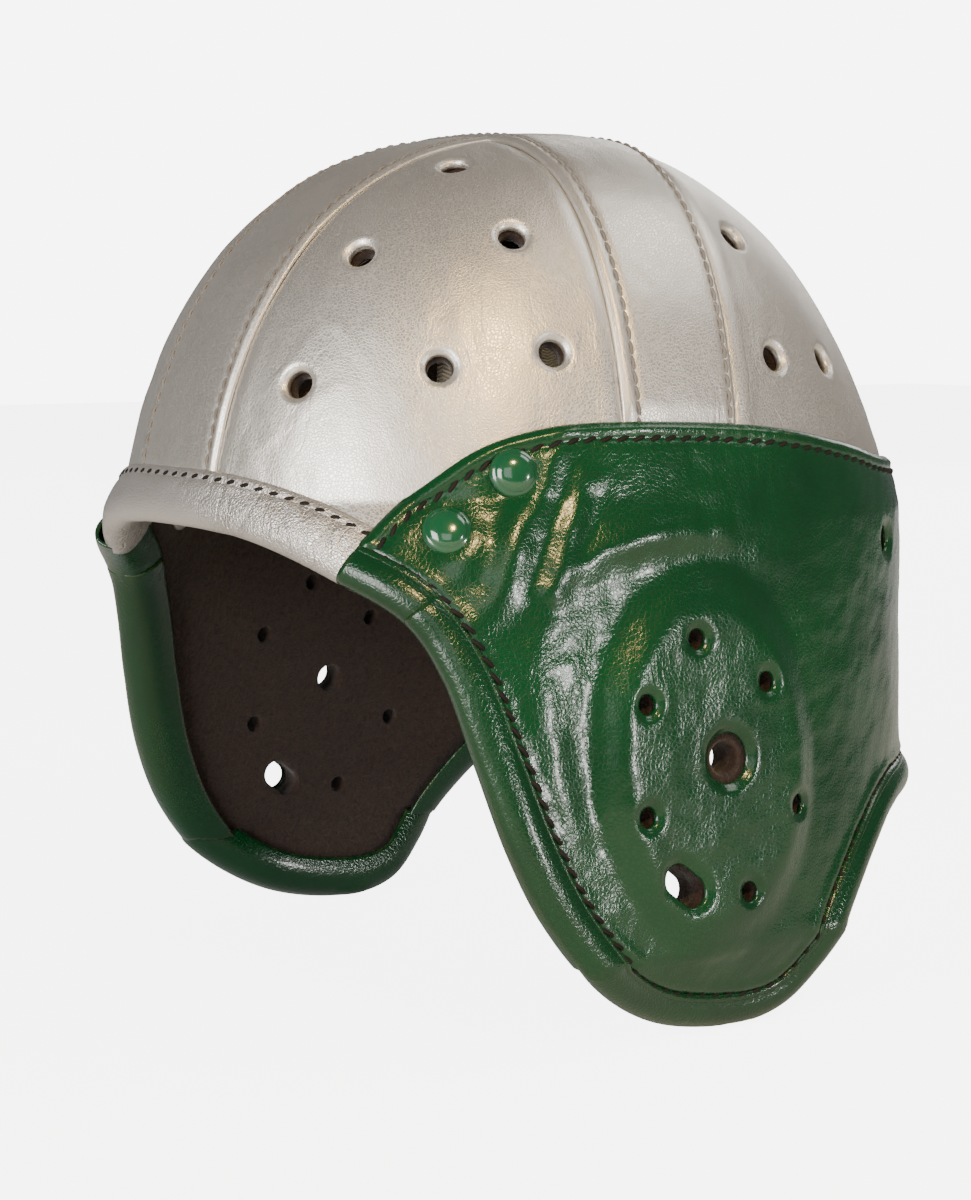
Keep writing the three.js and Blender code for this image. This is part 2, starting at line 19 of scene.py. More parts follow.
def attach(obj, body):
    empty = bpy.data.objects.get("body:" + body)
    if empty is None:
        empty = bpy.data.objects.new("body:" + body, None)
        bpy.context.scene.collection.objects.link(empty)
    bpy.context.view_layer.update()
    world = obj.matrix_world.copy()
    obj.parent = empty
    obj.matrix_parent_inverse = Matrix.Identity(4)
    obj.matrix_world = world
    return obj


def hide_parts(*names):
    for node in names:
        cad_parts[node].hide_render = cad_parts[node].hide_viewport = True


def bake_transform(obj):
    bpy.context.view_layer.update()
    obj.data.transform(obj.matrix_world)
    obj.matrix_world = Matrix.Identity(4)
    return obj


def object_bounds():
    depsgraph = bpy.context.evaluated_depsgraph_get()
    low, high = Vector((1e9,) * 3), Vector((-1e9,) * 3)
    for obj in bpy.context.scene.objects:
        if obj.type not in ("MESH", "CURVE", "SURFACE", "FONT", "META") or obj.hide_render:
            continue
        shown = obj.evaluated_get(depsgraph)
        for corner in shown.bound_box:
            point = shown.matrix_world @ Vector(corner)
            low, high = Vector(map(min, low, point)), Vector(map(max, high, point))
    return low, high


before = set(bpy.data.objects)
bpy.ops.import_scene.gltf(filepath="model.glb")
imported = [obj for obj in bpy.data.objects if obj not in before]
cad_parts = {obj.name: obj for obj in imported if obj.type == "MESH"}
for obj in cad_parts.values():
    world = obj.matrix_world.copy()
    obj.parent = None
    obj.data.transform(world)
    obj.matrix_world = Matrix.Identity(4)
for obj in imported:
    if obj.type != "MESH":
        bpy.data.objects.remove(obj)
cad_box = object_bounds()
MM = 0.001

# %% [markdown]
# ## The head form
# Leather helmets are stretched over a wooden head form, so every layer follows one
# surface. Here the form is a formula: at each level the plan is a superellipse, and its
# half width, front reach and back reach shrink towards the top by their own profiles.
# Below the crown the walls splay out to the ear flaps and tuck in at the nape. One
# formula means that leather, felt and bindings nest without any fitting by eye.

# %% The form's sizes, in millimetres
HALF_WIDTH, FRONT_REACH, BACK_REACH = 96.5, 115.3, 116.0
WIDEST_Z, CROWN_TOP_Z = -30.0, 103.3
PLAN_POWER = 2.27
SIDE_PROFILE, FRONT_PROFILE, BACK_PROFILE = (3.18, 0.2), (2.45, 0.03), (2.16, 0.1)
FLAP_TIP_Z, NAPE_Z = -130.0, -79.0
SPLAY = ([FLAP_TIP_Z, -108, 0], [2.5, 11, 0])
TUCK = ([NAPE_Z - 5, NAPE_Z + 9, 0], [2.25, 4.5, 0])
FRONT_POWER = ([-95, -55, -35, -15, 8], [5, 3.8, 3.4, 2.9, PLAN_POWER])


def profile(level, shape):
    power, taper = shape
    return (1 - level ** power) ** (1 / power) * (1 - taper * level)


def form_point(angle, z, offset=0.0, drop=0.0):
    """Points of the form, from the angle round from the brow's middle and the level.
    A slack layer such as webbing lies inside by its offset and hangs lower by its drop."""
    angle, z = np.broadcast_arrays(np.asarray(angle, float), np.asarray(z, float))
    top = CROWN_TOP_Z + offset - drop
    level = np.clip((np.maximum(z, 0) - WIDEST_Z) / (top - WIDEST_Z), 0, 1)
    side = (HALF_WIDTH + offset) * profile(level, SIDE_PROFILE) + np.interp(z, *SPLAY)
    front = (FRONT_REACH + offset) * profile(level, FRONT_PROFILE)
    back = (BACK_REACH + offset) * profile(level, BACK_PROFILE) - np.interp(z, *TUCK)
    across, along = np.sin(angle), -np.cos(angle)
    reach = np.maximum(np.where(along < 0, front, back), 1e-6)
    power = np.where(along < 0, np.interp(z, *FRONT_POWER), PLAN_POWER)
    side = np.maximum(side, 1e-6)
    radius = ((np.abs(across) / side) ** power + (np.abs(along) / reach) ** power) ** (-1 / power)
    return np.stack([radius * across, radius * along, z], -1)


# %% [markdown]
# ## Two flat maps of the form
# A pattern maker works on flat leather. The crown is laid out flat round its top, with
# each point at its true distance down the surface. The walls are unrolled round a
# cylinder instead. Outlines, holes and seams are drawn on these maps, filled with an even
# net of triangles, and then lifted onto the form.

# %% Crown map and wall map
WALL_RADIUS = 100.0


def crown_distances():
    """Distance down the surface from the top for each level, at an eighth of a turn."""
    turn = np.linspace(0, math.pi / 2, 1500)
    level = np.cos(turn) ** 2 * (CROWN_TOP_Z - 1e-7)
    low = np.linspace(-0.5, FLAP_TIP_Z, 260)
    z = np.concatenate([level, low])
    points = form_point(np.full(z.shape, math.pi / 4), z)
    steps = np.linalg.norm(np.diff(points, axis=0), axis=1)
    return np.concatenate([[0], np.cumsum(steps)]) + np.hypot(*points[0, :2]), z


DISTANCE, LEVEL = crown_distances()


def from_crown(flat):
    return np.arctan2(flat[:, 0], -flat[:, 1]), np.interp(np.hypot(flat[:, 0], flat[:, 1]), DISTANCE, LEVEL)


def to_crown(angle, z):
    distance = np.interp(-np.asarray(z, float), -LEVEL, DISTANCE)
    return np.stack([distance * np.sin(angle), -distance * np.cos(angle)], -1)


def from_wall(flat):
    return flat[:, 0] / WALL_RADIUS, flat[:, 1]


def to_wall(angle, z):
    return np.stack(np.broadcast_arrays(np.asarray(angle) * WALL_RADIUS, np.asarray(z)), -1).astype(float)


def angle_at(y, z):
    """Angle on the left wall where the form has this y at this level, by bisection."""
    y, z = np.broadcast_arrays(np.asarray(y, float), np.asarray(z, float))
    low, high = np.zeros(y.shape), np.full(y.shape, math.pi)
    for _ in range(40):
        middle = (low + high) / 2
        ahead = form_point(middle, z)[..., 1] < y
        low, high = np.where(ahead, middle, low), np.where(ahead, high, middle)
    return (low + high) / 2


def level_at(angle, axis, value, inside_z=0.0):
    """Level on the crown where x (axis 0) or y (axis 1) reaches this value at these angles."""
    angle = np.asarray(angle, float)
    low, high = np.full(angle.shape, inside_z), np.full(angle.shape, CROWN_TOP_Z - 1e-9)
    for _ in range(50):
        middle = (low + high) / 2
        outside = np.abs(form_point(angle, middle)[..., axis]) > np.abs(value(middle))
        low, high = np.where(outside, middle, low), np.where(outside, high, middle)
    return (low + high) / 2


print("crown map reaches", round(float(DISTANCE[-1]), 1), "mm from the top to the flap tips")

# %% [markdown]
# ## Outlines that several pieces share
# The lower edge runs from the brow, down round the ear flap and up to the nape. The side
# seam is where the green leather's folded top edge lies on the crown. Both are smooth
# curves through a few points seen from the side, so they pass through them as a bent
# spline would, and are then measured along the surface.

# %% The lower edge and the side seam
LOWER_EDGE = [
    (-140, 1.5), (-118, 1), (-111, -0.2), (-99, -10), (-87.5, -20.5), (-81, -35), (-76.3, -54),
    (-69.8, -77), (-60.5, -96.5), (-46, -113.5), (-25, -125.5), (0, FLAP_TIP_Z), (17, -127.3),
    (29, -117), (40, -102.5), (52, -89.5), (63, -82), (80, NAPE_Z - 0.5), (140, NAPE_Z)]
SIDE_SEAM = [
    (-140, -42), (-108, -24), (-98, -9), (-89, 1.6), (-78, 11.2), (-63.6, 21), (-45.9, 25.7),
    (-25, 26.6), (8.5, 25.3), (30.8, 22.6), (53.7, 18.4), (80, 13.5), (140, 9.5)]
BACK_SEAM_WIDTH = 16.0


def smooth_line(points, per_span=40):
    """A Catmull-Rom spline through the points."""
    points = np.array(points, float)
    padded = np.vstack([points[:1], points, points[-1:]])
    share = np.linspace(0, 1, per_span, endpoint=False)[:, None]
    spans = []
    for i in range(len(points) - 1):
        a, b, c, d = padded[i:i + 4]
        spans.append(0.5 * (2 * b + (c - a) * share + (2 * a - 5 * b + 4 * c - d) * share ** 2
                            + (3 * b - a - 3 * c + d) * share ** 3))
    return np.vstack(spans + [points[-1:]])


def wall_line(points):
    """The line on the wall map, from the brow's middle to the back's middle."""
    line = smooth_line(points)
    reach = np.abs(form_point(np.where(line[:, 0] < 0, 0, math.pi), line[:, 1])[:, 1])
    line = line[np.abs(line[:, 0]) < reach - 0.05]
    angles = angle_at(line[:, 0], line[:, 1])
    flat = to_wall(angles, line[:, 1])
    start, end = [[0, flat[0, 1]]], [[math.pi * WALL_RADIUS, flat[-1, 1]]]
    return np.vstack([start, flat, end])


def lengths_along(points):
    return np.concatenate([[0], np.cumsum(np.linalg.norm(np.diff(points, axis=0), axis=1))])


def respaced(flat, step, lift=from_wall):
    """The same line with points at equal steps along the surface."""
    length = lengths_along(form_point(*lift(flat)))
    count = max(int(round(length[-1] / step)), 2)
    at = np.linspace(0, length[-1], count + 1)
    return np.stack([np.interp(at, length, flat[:, k]) for k in (0, 1)], -1)


def inset(flat, distance):
    """The line moved towards its left-hand side by this distance."""
    along = np.gradient(flat, axis=0)
    along /= np.linalg.norm(along, axis=1)[:, None]
    return flat + distance * np.stack([-along[:, 1], along[:, 0]], -1)


def inset_loop(loop, distance):
    """A closed anticlockwise outline moved inwards by this distance."""
    along = np.roll(loop, -1, axis=0) - np.roll(loop, 1, axis=0)
    along /= np.linalg.norm(along, axis=1)[:, None]
    return loop + distance * np.stack([-along[:, 1], along[:, 0]], -1)


EDGE = respaced(wall_line(LOWER_EDGE), 1.0)
SEAM = respaced(wall_line(SIDE_SEAM), 1.0)
print("lower edge, brow to nape:", len(EDGE) - 1, "mm; side seam line:", len(SEAM) - 1, "mm")

# %% [markdown]
# ## Filling an outline with an even net
# A piece of leather is a sheet with two faces and a worn, rounded edge. The outline is
# filled with staggered points, and a constrained Delaunay triangulation joins them into
# nearly even triangles that keep the outline and the holes exact. Rows of closer points
# go where the shape changes fast: along the edges, round the holes and beside the seams.

# %% Filling, lifting and closing a sheet
def is_inside(points, loop):
    """Even-odd test of points against a closed loop."""
    found = np.zeros(len(points), bool)
    x, y = points[:, 0], points[:, 1]
    for (x0, y0), (x1, y1) in zip(loop, np.roll(loop, -1, axis=0)):
        if y0 != y1:
            crosses = (y0 > y) != (y1 > y)
            found ^= crosses & (x < (x1 - x0) * (y - y0) / (y1 - y0) + x0)
    return found


def distance_to(points, line, closed=False):
    """Distance from each point to a polyline, in any number of dimensions."""
    line = np.vstack([line, line[:1]]) if closed else line
    best = np.full(len(points), np.inf)
    for a, b in zip(line[:-1], line[1:]):
        span = b - a
        share = np.clip((points - a) @ span / max(span @ span, 1e-12), 0, 1)
        best = np.minimum(best, np.linalg.norm(points - a - share[:, None] * span, axis=1))
    return best


def form_normal(angle, z):
    """Outward direction of the form at these places."""
    turn, rise = 0.004, 0.4
    across = form_point(angle + turn, z) - form_point(angle - turn, z)
    upward = form_point(angle, z + rise) - form_point(angle, z - rise)
    facing = np.cross(across, upward)
    return facing / np.linalg.norm(facing, axis=-1, keepdims=True)


def punched(place, to_map, radius, count=26, stretch=0.0, tilt=0.0):
    """The outline on a map of a round hole, or of a slot, punched square to the surface."""
    centre, facing = form_point(*place), form_normal(*place)
    upward = np.array([0, 0, 1]) - facing * facing[2]
    upward /= np.linalg.norm(upward)
    across = np.cross(upward, facing)
    turn = np.linspace(0, 2 * math.pi, count, endpoint=False) + 0.01
    x = radius * np.cos(turn) + np.sign(np.cos(turn)) * stretch
    y = radius * np.sin(turn)
    c, s = math.cos(tilt), math.sin(tilt)
    points = centre + np.outer(x * c - y * s, across) + np.outer(x * s + y * c, upward)
    return to_map(np.arctan2(points[:, 0], -points[:, 1]), points[:, 2])


def net(outline, holes=(), rows=(), step=1.3, edge_rows=(0.35, 0.9, 1.7), hole_rows=(0.35, 0.8, 1.4, 2.2)):
    """Points and triangles that fill an outline on a map."""
    loops = [outline] + list(holes)
    closer = [inset_loop(outline, d) for d in edge_rows]
    for hole in holes:
        middle = hole.mean(0)
        reach = np.linalg.norm(hole - middle, axis=1)[:, None]
        closer += [middle + (hole - middle) * (1 + d / reach) for d in hole_rows]
    closer += list(rows)
    low, high = outline.min(0), outline.max(0)
    x, y = np.meshgrid(np.arange(low[0], high[0], step), np.arange(low[1], high[1], step * 0.866))
    x = x + (np.arange(len(x)) % 2)[:, None] * step / 2
    grid = np.stack([x.ravel(), y.ravel()], -1)
    fixed = np.vstack(loops)
    extra = np.vstack(closer) if closer else np.zeros((0, 2))

    def kept(points, clear):
        points = points[is_inside(points, outline)]
        for hole in holes:
            points = points[~is_inside(points, hole)]
        for loop in loops:
            near = np.ones(len(points), bool)
            near &= distance_to(points, loop, closed=True) > clear
            points = points[near]
        return points

    extra = kept(extra, 0.25)
    extra = thinned(extra, 0.3)
    grid = kept(grid, 0.6 * step)
    grid = grid[far_from(grid, extra, 0.62 * step)]
    points = np.vstack([fixed, extra, grid])
    edges, start = [], 0
    for loop in loops:
        count = len(loop)
        edges += [(start + i, start + (i + 1) % count) for i in range(count)]
        start += count
    verts, _, faces, *_ = delaunay_2d_cdt([Vector(p) for p in points], edges, [], 0, 1e-6)
    flat = np.array([tuple(v) for v in verts])
    faces = np.array([f for f in faces if len(f) == 3])
    middles = flat[faces].mean(1)
    good = is_inside(middles, outline)
    for hole in holes:
        good &= ~is_inside(middles, hole)
    faces = faces[good]
    a, b, c = (flat[faces[:, k]] for k in range(3))
    area = (b[:, 0] - a[:, 0]) * (c[:, 1] - a[:, 1]) - (b[:, 1] - a[:, 1]) * (c[:, 0] - a[:, 0])
    faces[area < 0] = faces[area < 0][:, ::-1]
    used = np.unique(faces)
    renumber = np.full(len(flat), -1)
    renumber[used] = np.arange(len(used))
    return flat[used], renumber[faces]


def thinned(points, gap):
    """Keeps the first of any points that share a small square."""
    if not len(points):
        return points
    _, first = np.unique(np.round(points / gap).astype(int), axis=0, return_index=True)
    return points[np.sort(first)]


def far_from(points, others, gap):
    """True for the points with no other point nearer than the gap, by a square grid."""
    if not len(others):
        return np.ones(len(points), bool)
    cells = {}
    for k, cell in enumerate(map(tuple, np.floor(others / gap).astype(int))):
        cells.setdefault(cell, []).append(k)
    result = np.ones(len(points), bool)
    for i, (cx, cy) in enumerate(np.floor(points / gap).astype(int)):
        near = [k for dx in (-1, 0, 1) for dy in (-1, 0, 1) for k in cells.get((cx + dx, cy + dy), ())]
        if near and np.min(np.sum((others[near] - points[i]) ** 2, 1)) < gap * gap:
            result[i] = False
    return result


def corner_normals(points, faces):
    a, b, c = (points[faces[:, k]] for k in range(3))
    facing = np.cross(b - a, c - a)
    normals = np.zeros_like(points)
    for k in range(3):
        np.add.at(normals, faces[:, k], facing)
    return normals / np.maximum(np.linalg.norm(normals, axis=1), 1e-12)[:, None]


def rim_edges(faces):
    """Directed edges that only one triangle uses."""
    edges = np.vstack([faces[:, [0, 1]], faces[:, [1, 2]], faces[:, [2, 0]]])
    seen = set(map(tuple, edges))
    return np.array([e for e in map(tuple, edges) if (e[1], e[0]) not in seen])


def make_object(name, points, faces, smooth=True):
    """A Blender object from points in millimetres."""
    mesh = bpy.data.meshes.new(name)
    mesh.from_pydata((np.asarray(points) * MM).tolist(), [], [list(map(int, f)) for f in faces])
    mesh.polygons.foreach_set("use_smooth", [smooth] * len(mesh.polygons))
    mesh.update()
    piece = bpy.data.objects.new(name, mesh)
    bpy.context.scene.collection.objects.link(piece)
    return piece


def sheet_piece(name, filled, lift, outer, inner, bulge=0.0, steps=2, mirror=False):
    """A closed sheet between two height functions above the form, with a rounded rim.
    Each height function takes the points of the form and their places on the map."""
    flat, faces = filled
    base = form_point(*lift(flat))
    normals = corner_normals(base, faces)
    top = base + normals * outer(base, flat)[:, None]
    low = base + normals * inner(base, flat)[:, None]
    count = len(base)
    rim = rim_edges(faces)
    following = {a: b for a, b in rim}
    before = {b: a for a, b in rim}
    order = np.array(sorted(following))
    index = {v: k for k, v in enumerate(order)}
    along = base[[following[v] for v in order]] - base[[before[v] for v in order]]
    outward = np.cross(along, normals[order])
    outward /= np.maximum(np.linalg.norm(outward, axis=1), 1e-9)[:, None]
    points = [top, low]
    for k in range(1, steps + 1):
        share = k / (steps + 1)
        between = top[order] * (1 - share) + low[order] * share
        points.append(between + outward * bulge * math.sin(math.pi * share))
    all_faces = [tuple(f) for f in faces] + [tuple(f[::-1] + count) for f in faces]
    for a, b in rim:
        chain_a = [a] + [2 * count + k * len(order) + index[a] for k in range(steps)] + [a + count]
        chain_b = [b] + [2 * count + k * len(order) + index[b] for k in range(steps)] + [b + count]
        for k in range(steps + 1):
            all_faces.append((chain_b[k], chain_a[k], chain_a[k + 1], chain_b[k + 1]))
    points = np.vstack(points)
    if mirror:
        points = points * [-1, 1, 1]
        all_faces = [f[::-1] for f in all_faces]
    return make_object(name, points, all_faces)


def smooth_step(value, low, high):
    share = np.clip((value - low) / (high - low), 0, 1)
    return share * share * (3 - 2 * share)


def ripple(points, size, seed, waves=14):
    """A gentle random swell of about one unit, with lumps of this size in millimetres."""
    random = np.random.default_rng(seed)
    directions = random.normal(size=(waves, 3))
    directions /= np.linalg.norm(directions, axis=1)[:, None]
    speed = 2 * math.pi / size * random.uniform(0.6, 1.5, waves)
    phases = random.uniform(0, 2 * math.pi, waves)
    return np.sin(points @ (directions * speed[:, None]).T + phases).sum(1) / math.sqrt(waves / 2) / 1.6


def creases(points, size, seed):
    """Thin random ridge lines, from 0 to 1."""
    return np.exp(-(ripple(points, size, seed) / 0.16) ** 2)


print("helpers for sheets are ready")

# %% [markdown]
# ## Camera, floor and light
# The helmet is seen from its front left at about a third of the way round, from just
# above its middle. Soft white boxes light it from the front, the top and behind, and a
# narrow one on its left draws the bright streak down the flap. One small warm lamp gives
# the gold glints on the lacquer. To the camera, the surroundings and the floor are nearly
# white. To everything else they are dim, so the colours stay deep.

# %% Camera
TURN, TILT, AWAY, LENS = math.radians(55.0), math.radians(6.26), 0.78407, 81.64
AIM = Vector((math.cos(TURN), math.sin(TURN), 0)) * -0.00838 + Vector((0, 0, -0.02766))


def around(turn, tilt, away):
    """A point at this distance from the aim, by compass turn from the front and tilt."""
    flat = math.cos(tilt)
    return AIM + away * Vector((math.sin(turn) * flat, -math.cos(turn) * flat, math.sin(tilt)))


def look(item, place, target):
    item.location = place
    item.rotation_euler = (target - place).to_track_quat("-Z", "Y").to_euler()


camera = bpy.data.objects.new("camera", bpy.data.cameras.new("camera"))
camera.data.lens = LENS
camera.data.sensor_width = 36
look(camera, around(TURN, TILT, AWAY), AIM)
bpy.context.scene.collection.objects.link(camera)
bpy.context.scene.camera = camera
print("camera at", [round(v, 3) for v in camera.location])

# %% Lights and world
def soft_light(name, turn, tilt, away, size, power, colour):
    """A square soft box, aimed at the helmet. Turn and tilt are in degrees."""
    lamp = bpy.data.lights.new(name, "AREA")
    lamp.shape, lamp.size, lamp.energy, lamp.color = "SQUARE", size, power, colour
    item = bpy.data.objects.new(name, lamp)
    look(item, around(math.radians(turn), math.radians(tilt), away), AIM)
    bpy.context.scene.collection.objects.link(item)


WHITE, WARM = (1.0, 0.98, 0.95), (1.0, 0.68, 0.30)
WORLD_LIGHT, PAPER_WHITE = 0.17, 7.0
soft_light("front_box", 20, 12, 2.2, 1.1, 62, WHITE)
soft_light("side_strip", 112, 4, 2.4, 0.22, 17, WHITE)
soft_light("fill_box", 60, 18, 2.6, 1.0, 7, WHITE)
soft_light("warm_lamp", 76, 40, 1.5, 0.16, 13, WARM)
soft_light("top_box", 150, 50, 1.9, 0.8, 9, WHITE)
soft_light("back_box", 215, 25, 2.4, 1.2, 14, WHITE)
world = bpy.data.worlds.new("studio")
world.use_nodes = True
nodes, links = world.node_tree.nodes, world.node_tree.links
plain = nodes["Background"]
plain.inputs[0].default_value, plain.inputs[1].default_value = (0.90, 0.92, 0.95, 1), WORLD_LIGHT
paper = nodes.new("ShaderNodeBackground")
paper.inputs[0].default_value, paper.inputs[1].default_value = (1, 1, 1, 1), PAPER_WHITE
seen, either = nodes.new("ShaderNodeLightPath"), nodes.new("ShaderNodeMixShader")
links.new(seen.outputs["Is Camera Ray"], either.inputs[0])
links.new(plain.outputs[0], either.inputs[1])
links.new(paper.outputs[0], either.inputs[2])
links.new(either.outputs[0], nodes["World Output"].inputs["Surface"])
bpy.context.scene.world = world

# %% Floor
FLOOR_CLEARANCE = 0.0020
floor_level = cad_box[0][2] - FLOOR_CLEARANCE
bpy.ops.mesh.primitive_plane_add(size=8, location=(0, 0, floor_level))
floor = bpy.context.object
floor.name = "floor"
floor_paint = bpy.data.materials.new("floor_paint")
floor_paint.use_nodes = True
nodes, links = floor_paint.node_tree.nodes, floor_paint.node_tree.links
paper = nodes["Principled BSDF"]
paper.inputs["Base Color"].default_value, paper.inputs["Roughness"].default_value = (0.86, 0.86, 0.85, 1), 0.8
paper.inputs["Emission Color"].default_value = (1, 1, 1, 1)
seen = nodes.new("ShaderNodeLightPath")
bright = nodes.new("ShaderNodeMath")
bright.operation, bright.inputs[1].default_value = "MULTIPLY", PAPER_WHITE * 0.8
links.new(seen.outputs["Is Camera Ray"], bright.inputs[0])
links.new(bright.outputs[0], paper.inputs["Emission Strength"])
floor.data.materials.append(floor_paint)
print("floor at", round(floor_level, 4))

# %% [markdown]
# ## Finishes
# Four effects are shared by several materials, so each is a node group: leather grain,
# drawn creases, wear that rubs through on high places, and the fuzz of felt. A group
# only puts out masks and heights. Each material keeps its own shader and its own values.

# %% Node helpers
def new_group(name, inputs, outputs):
    group = bpy.data.node_groups.new(name, "ShaderNodeTree")
    for title, default in inputs:
        socket = group.interface.new_socket(title, in_out="INPUT", socket_type="NodeSocketFloat")
        socket.default_value = default
    for title in outputs:
        group.interface.new_socket(title, in_out="OUTPUT", socket_type="NodeSocketFloat")
    start, end = group.nodes.new("NodeGroupInput"), group.nodes.new("NodeGroupOutput")
    return group, start, end


def add(tree, kind, values=None, **settings):
    """A node with its settings and input values."""
    node = tree.nodes.new(kind)
    for key, value in settings.items():
        setattr(node, key, value)
    for key, value in (values or {}).items():
        node.inputs[key].default_value = value
    return node


def join(tree, *pairs):
    for output, target in pairs:
        tree.links.new(output, target)


def calculate(tree, operation, first, second, clamp=False):
    """A Math node on two sockets or numbers."""
    node = add(tree, "ShaderNodeMath", operation=operation, use_clamp=clamp)
    for place, value in enumerate((first, second)):
        if isinstance(value, (int, float)):
            node.inputs[place].default_value = value
        else:
            tree.links.new(value, node.inputs[place])
    return node.outputs[0]


def remap(tree, value, from_low, from_high, to_low=0.0, to_high=1.0):
    node = add(tree, "ShaderNodeMapRange", {1: from_low, 2: from_high, 3: to_low, 4: to_high}, clamp=True)
    tree.links.new(value, node.inputs[0])
    return node.outputs[0]


# %% Leather grain: pebbles of two sizes with pores between
grain_group, start, end = new_group("leather_grain", [("Scale", 900.0), ("Pull", 0.4)], ["Height", "Valley"])
place = add(grain_group, "ShaderNodeTexCoord")
wander = add(grain_group, "ShaderNodeTexNoise", {"Scale": 260.0, "Detail": 2.0})
bend = add(grain_group, "ShaderNodeVectorMath", {"Scale": 0.0012}, operation="SCALE")
moved = add(grain_group, "ShaderNodeVectorMath", operation="ADD")
cells = add(grain_group, "ShaderNodeTexVoronoi", feature="DISTANCE_TO_EDGE")
fine = add(grain_group, "ShaderNodeTexNoise", {"Scale": 2600.0, "Detail": 3.0, "Roughness": 0.6})
join(grain_group, (place.outputs["Object"], wander.inputs["Vector"]),
     (wander.outputs["Color"], bend.inputs[0]),
     (place.outputs["Object"], moved.inputs[0]), (bend.outputs[0], moved.inputs[1]),
     (moved.outputs[0], cells.inputs["Vector"]), (start.outputs["Scale"], cells.inputs["Scale"]),
     (place.outputs["Object"], fine.inputs["Vector"]))
pebble = remap(grain_group, cells.outputs["Distance"], 0.0, 0.22)
height = calculate(grain_group, "ADD", calculate(grain_group, "MULTIPLY", pebble, 0.7),
                   calculate(grain_group, "MULTIPLY", fine.outputs["Fac"], start.outputs["Pull"]))
join(grain_group, (height, end.inputs["Height"]),
     (calculate(grain_group, "SUBTRACT", 1.0, pebble, True), end.inputs["Valley"]))

# %% Creases: long thin wrinkles drawn by stretched noise
crease_group, start, end = new_group("drawn_creases", [("Scale", 90.0), ("Sharpness", 9.0)],
                                     ["Line", "Patch"])
place = add(crease_group, "ShaderNodeTexCoord")
stretch = add(crease_group, "ShaderNodeMapping", {"Scale": (1.0, 1.0, 0.35)})
waves = add(crease_group, "ShaderNodeTexNoise", {"Detail": 4.0, "Roughness": 0.55, "Distortion": 0.6})
patch = add(crease_group, "ShaderNodeTexNoise", {"Scale": 22.0, "Detail": 2.0})
join(crease_group, (place.outputs["Object"], stretch.inputs[0]), (stretch.outputs[0], waves.inputs["Vector"]),
     (start.outputs["Scale"], waves.inputs["Scale"]), (place.outputs["Object"], patch.inputs["Vector"]))
from_half = calculate(crease_group, "SUBTRACT", waves.outputs["Fac"], 0.5)
middle = calculate(crease_group, "ABSOLUTE", from_half, 0.0)
line = calculate(crease_group, "SUBTRACT", 1.0,
                 calculate(crease_group, "MULTIPLY", middle, start.outputs["Sharpness"]), True)
spread = remap(crease_group, patch.outputs["Fac"], 0.45, 0.68)
join(crease_group, (calculate(crease_group, "MULTIPLY", line, spread), end.inputs["Line"]),
     (patch.outputs["Fac"], end.inputs["Patch"]))

# %% Wear: a mask for the high places and edges, broken up by noise
wear_group, start, end = new_group("edge_wear", [("Amount", 0.5), ("Scale", 160.0)], ["Mask"])
place = add(wear_group, "ShaderNodeTexCoord")
shape = add(wear_group, "ShaderNodeNewGeometry")
breakup = add(wear_group, "ShaderNodeTexNoise", {"Detail": 4.0, "Roughness": 0.65})
join(wear_group, (place.outputs["Object"], breakup.inputs["Vector"]),
     (start.outputs["Scale"], breakup.inputs["Scale"]))
high = remap(wear_group, shape.outputs["Pointiness"], 0.515, 0.60)
rough = remap(wear_group, breakup.outputs["Fac"], 0.42, 0.62)
join(wear_group, (calculate(wear_group, "MULTIPLY", calculate(wear_group, "MULTIPLY", high, rough),
                            start.outputs["Amount"], True), end.inputs["Mask"]))

# %% Fuzz: short matted fibres
fuzz_group, start, end = new_group("felt_fuzz", [("Scale", 700.0)], ["Height", "Tone"])
place = add(fuzz_group, "ShaderNodeTexCoord")
fibres = add(fuzz_group, "ShaderNodeTexNoise", {"Detail": 5.0, "Roughness": 0.75, "Distortion": 1.2})
clumps = add(fuzz_group, "ShaderNodeTexNoise", {"Scale": 60.0, "Detail": 3.0})
join(fuzz_group, (place.outputs["Object"], fibres.inputs["Vector"]),
     (start.outputs["Scale"], fibres.inputs["Scale"]),
     (place.outputs["Object"], clumps.inputs["Vector"]), (fibres.outputs["Fac"], end.inputs["Height"]),
     (clumps.outputs["Fac"], end.inputs["Tone"]))
print("shared effects:", [g.name for g in (grain_group, crease_group, wear_group, fuzz_group)])


# %% Material helpers
def new_material(name, **values):
    material = bpy.data.materials.new(name)
    material.use_nodes = True
    shader = material.node_tree.nodes["Principled BSDF"]
    for title, value in values.items():
        shader.inputs[title.replace("_", " ")].default_value = value
    return material, material.node_tree, shader


def use_group(tree, group, **values):
    node = tree.nodes.new("ShaderNodeGroup")
    node.node_tree = group
    for title, value in values.items():
        node.inputs[title].default_value = value
    return node


def mix_colour(tree, factor, first, second, blend="MIX"):
    node = add(tree, "ShaderNodeMix", data_type="RGBA", blend_type=blend)
    if isinstance(factor, (int, float)):
        node.inputs[0].default_value = factor
    else:
        tree.links.new(factor, node.inputs[0])
    for place, value in ((6, first), (7, second)):
        if isinstance(value, tuple):
            node.inputs[place].default_value = (*value, 1)
        else:
            tree.links.new(value, node.inputs[place])
    return node.outputs[2]


def tinted(tree, mask, amount, colour, tint):
    """The colour, turned towards a tint where the mask is high."""
    return mix_colour(tree, calculate(tree, "MULTIPLY", mask, amount), colour, tint)


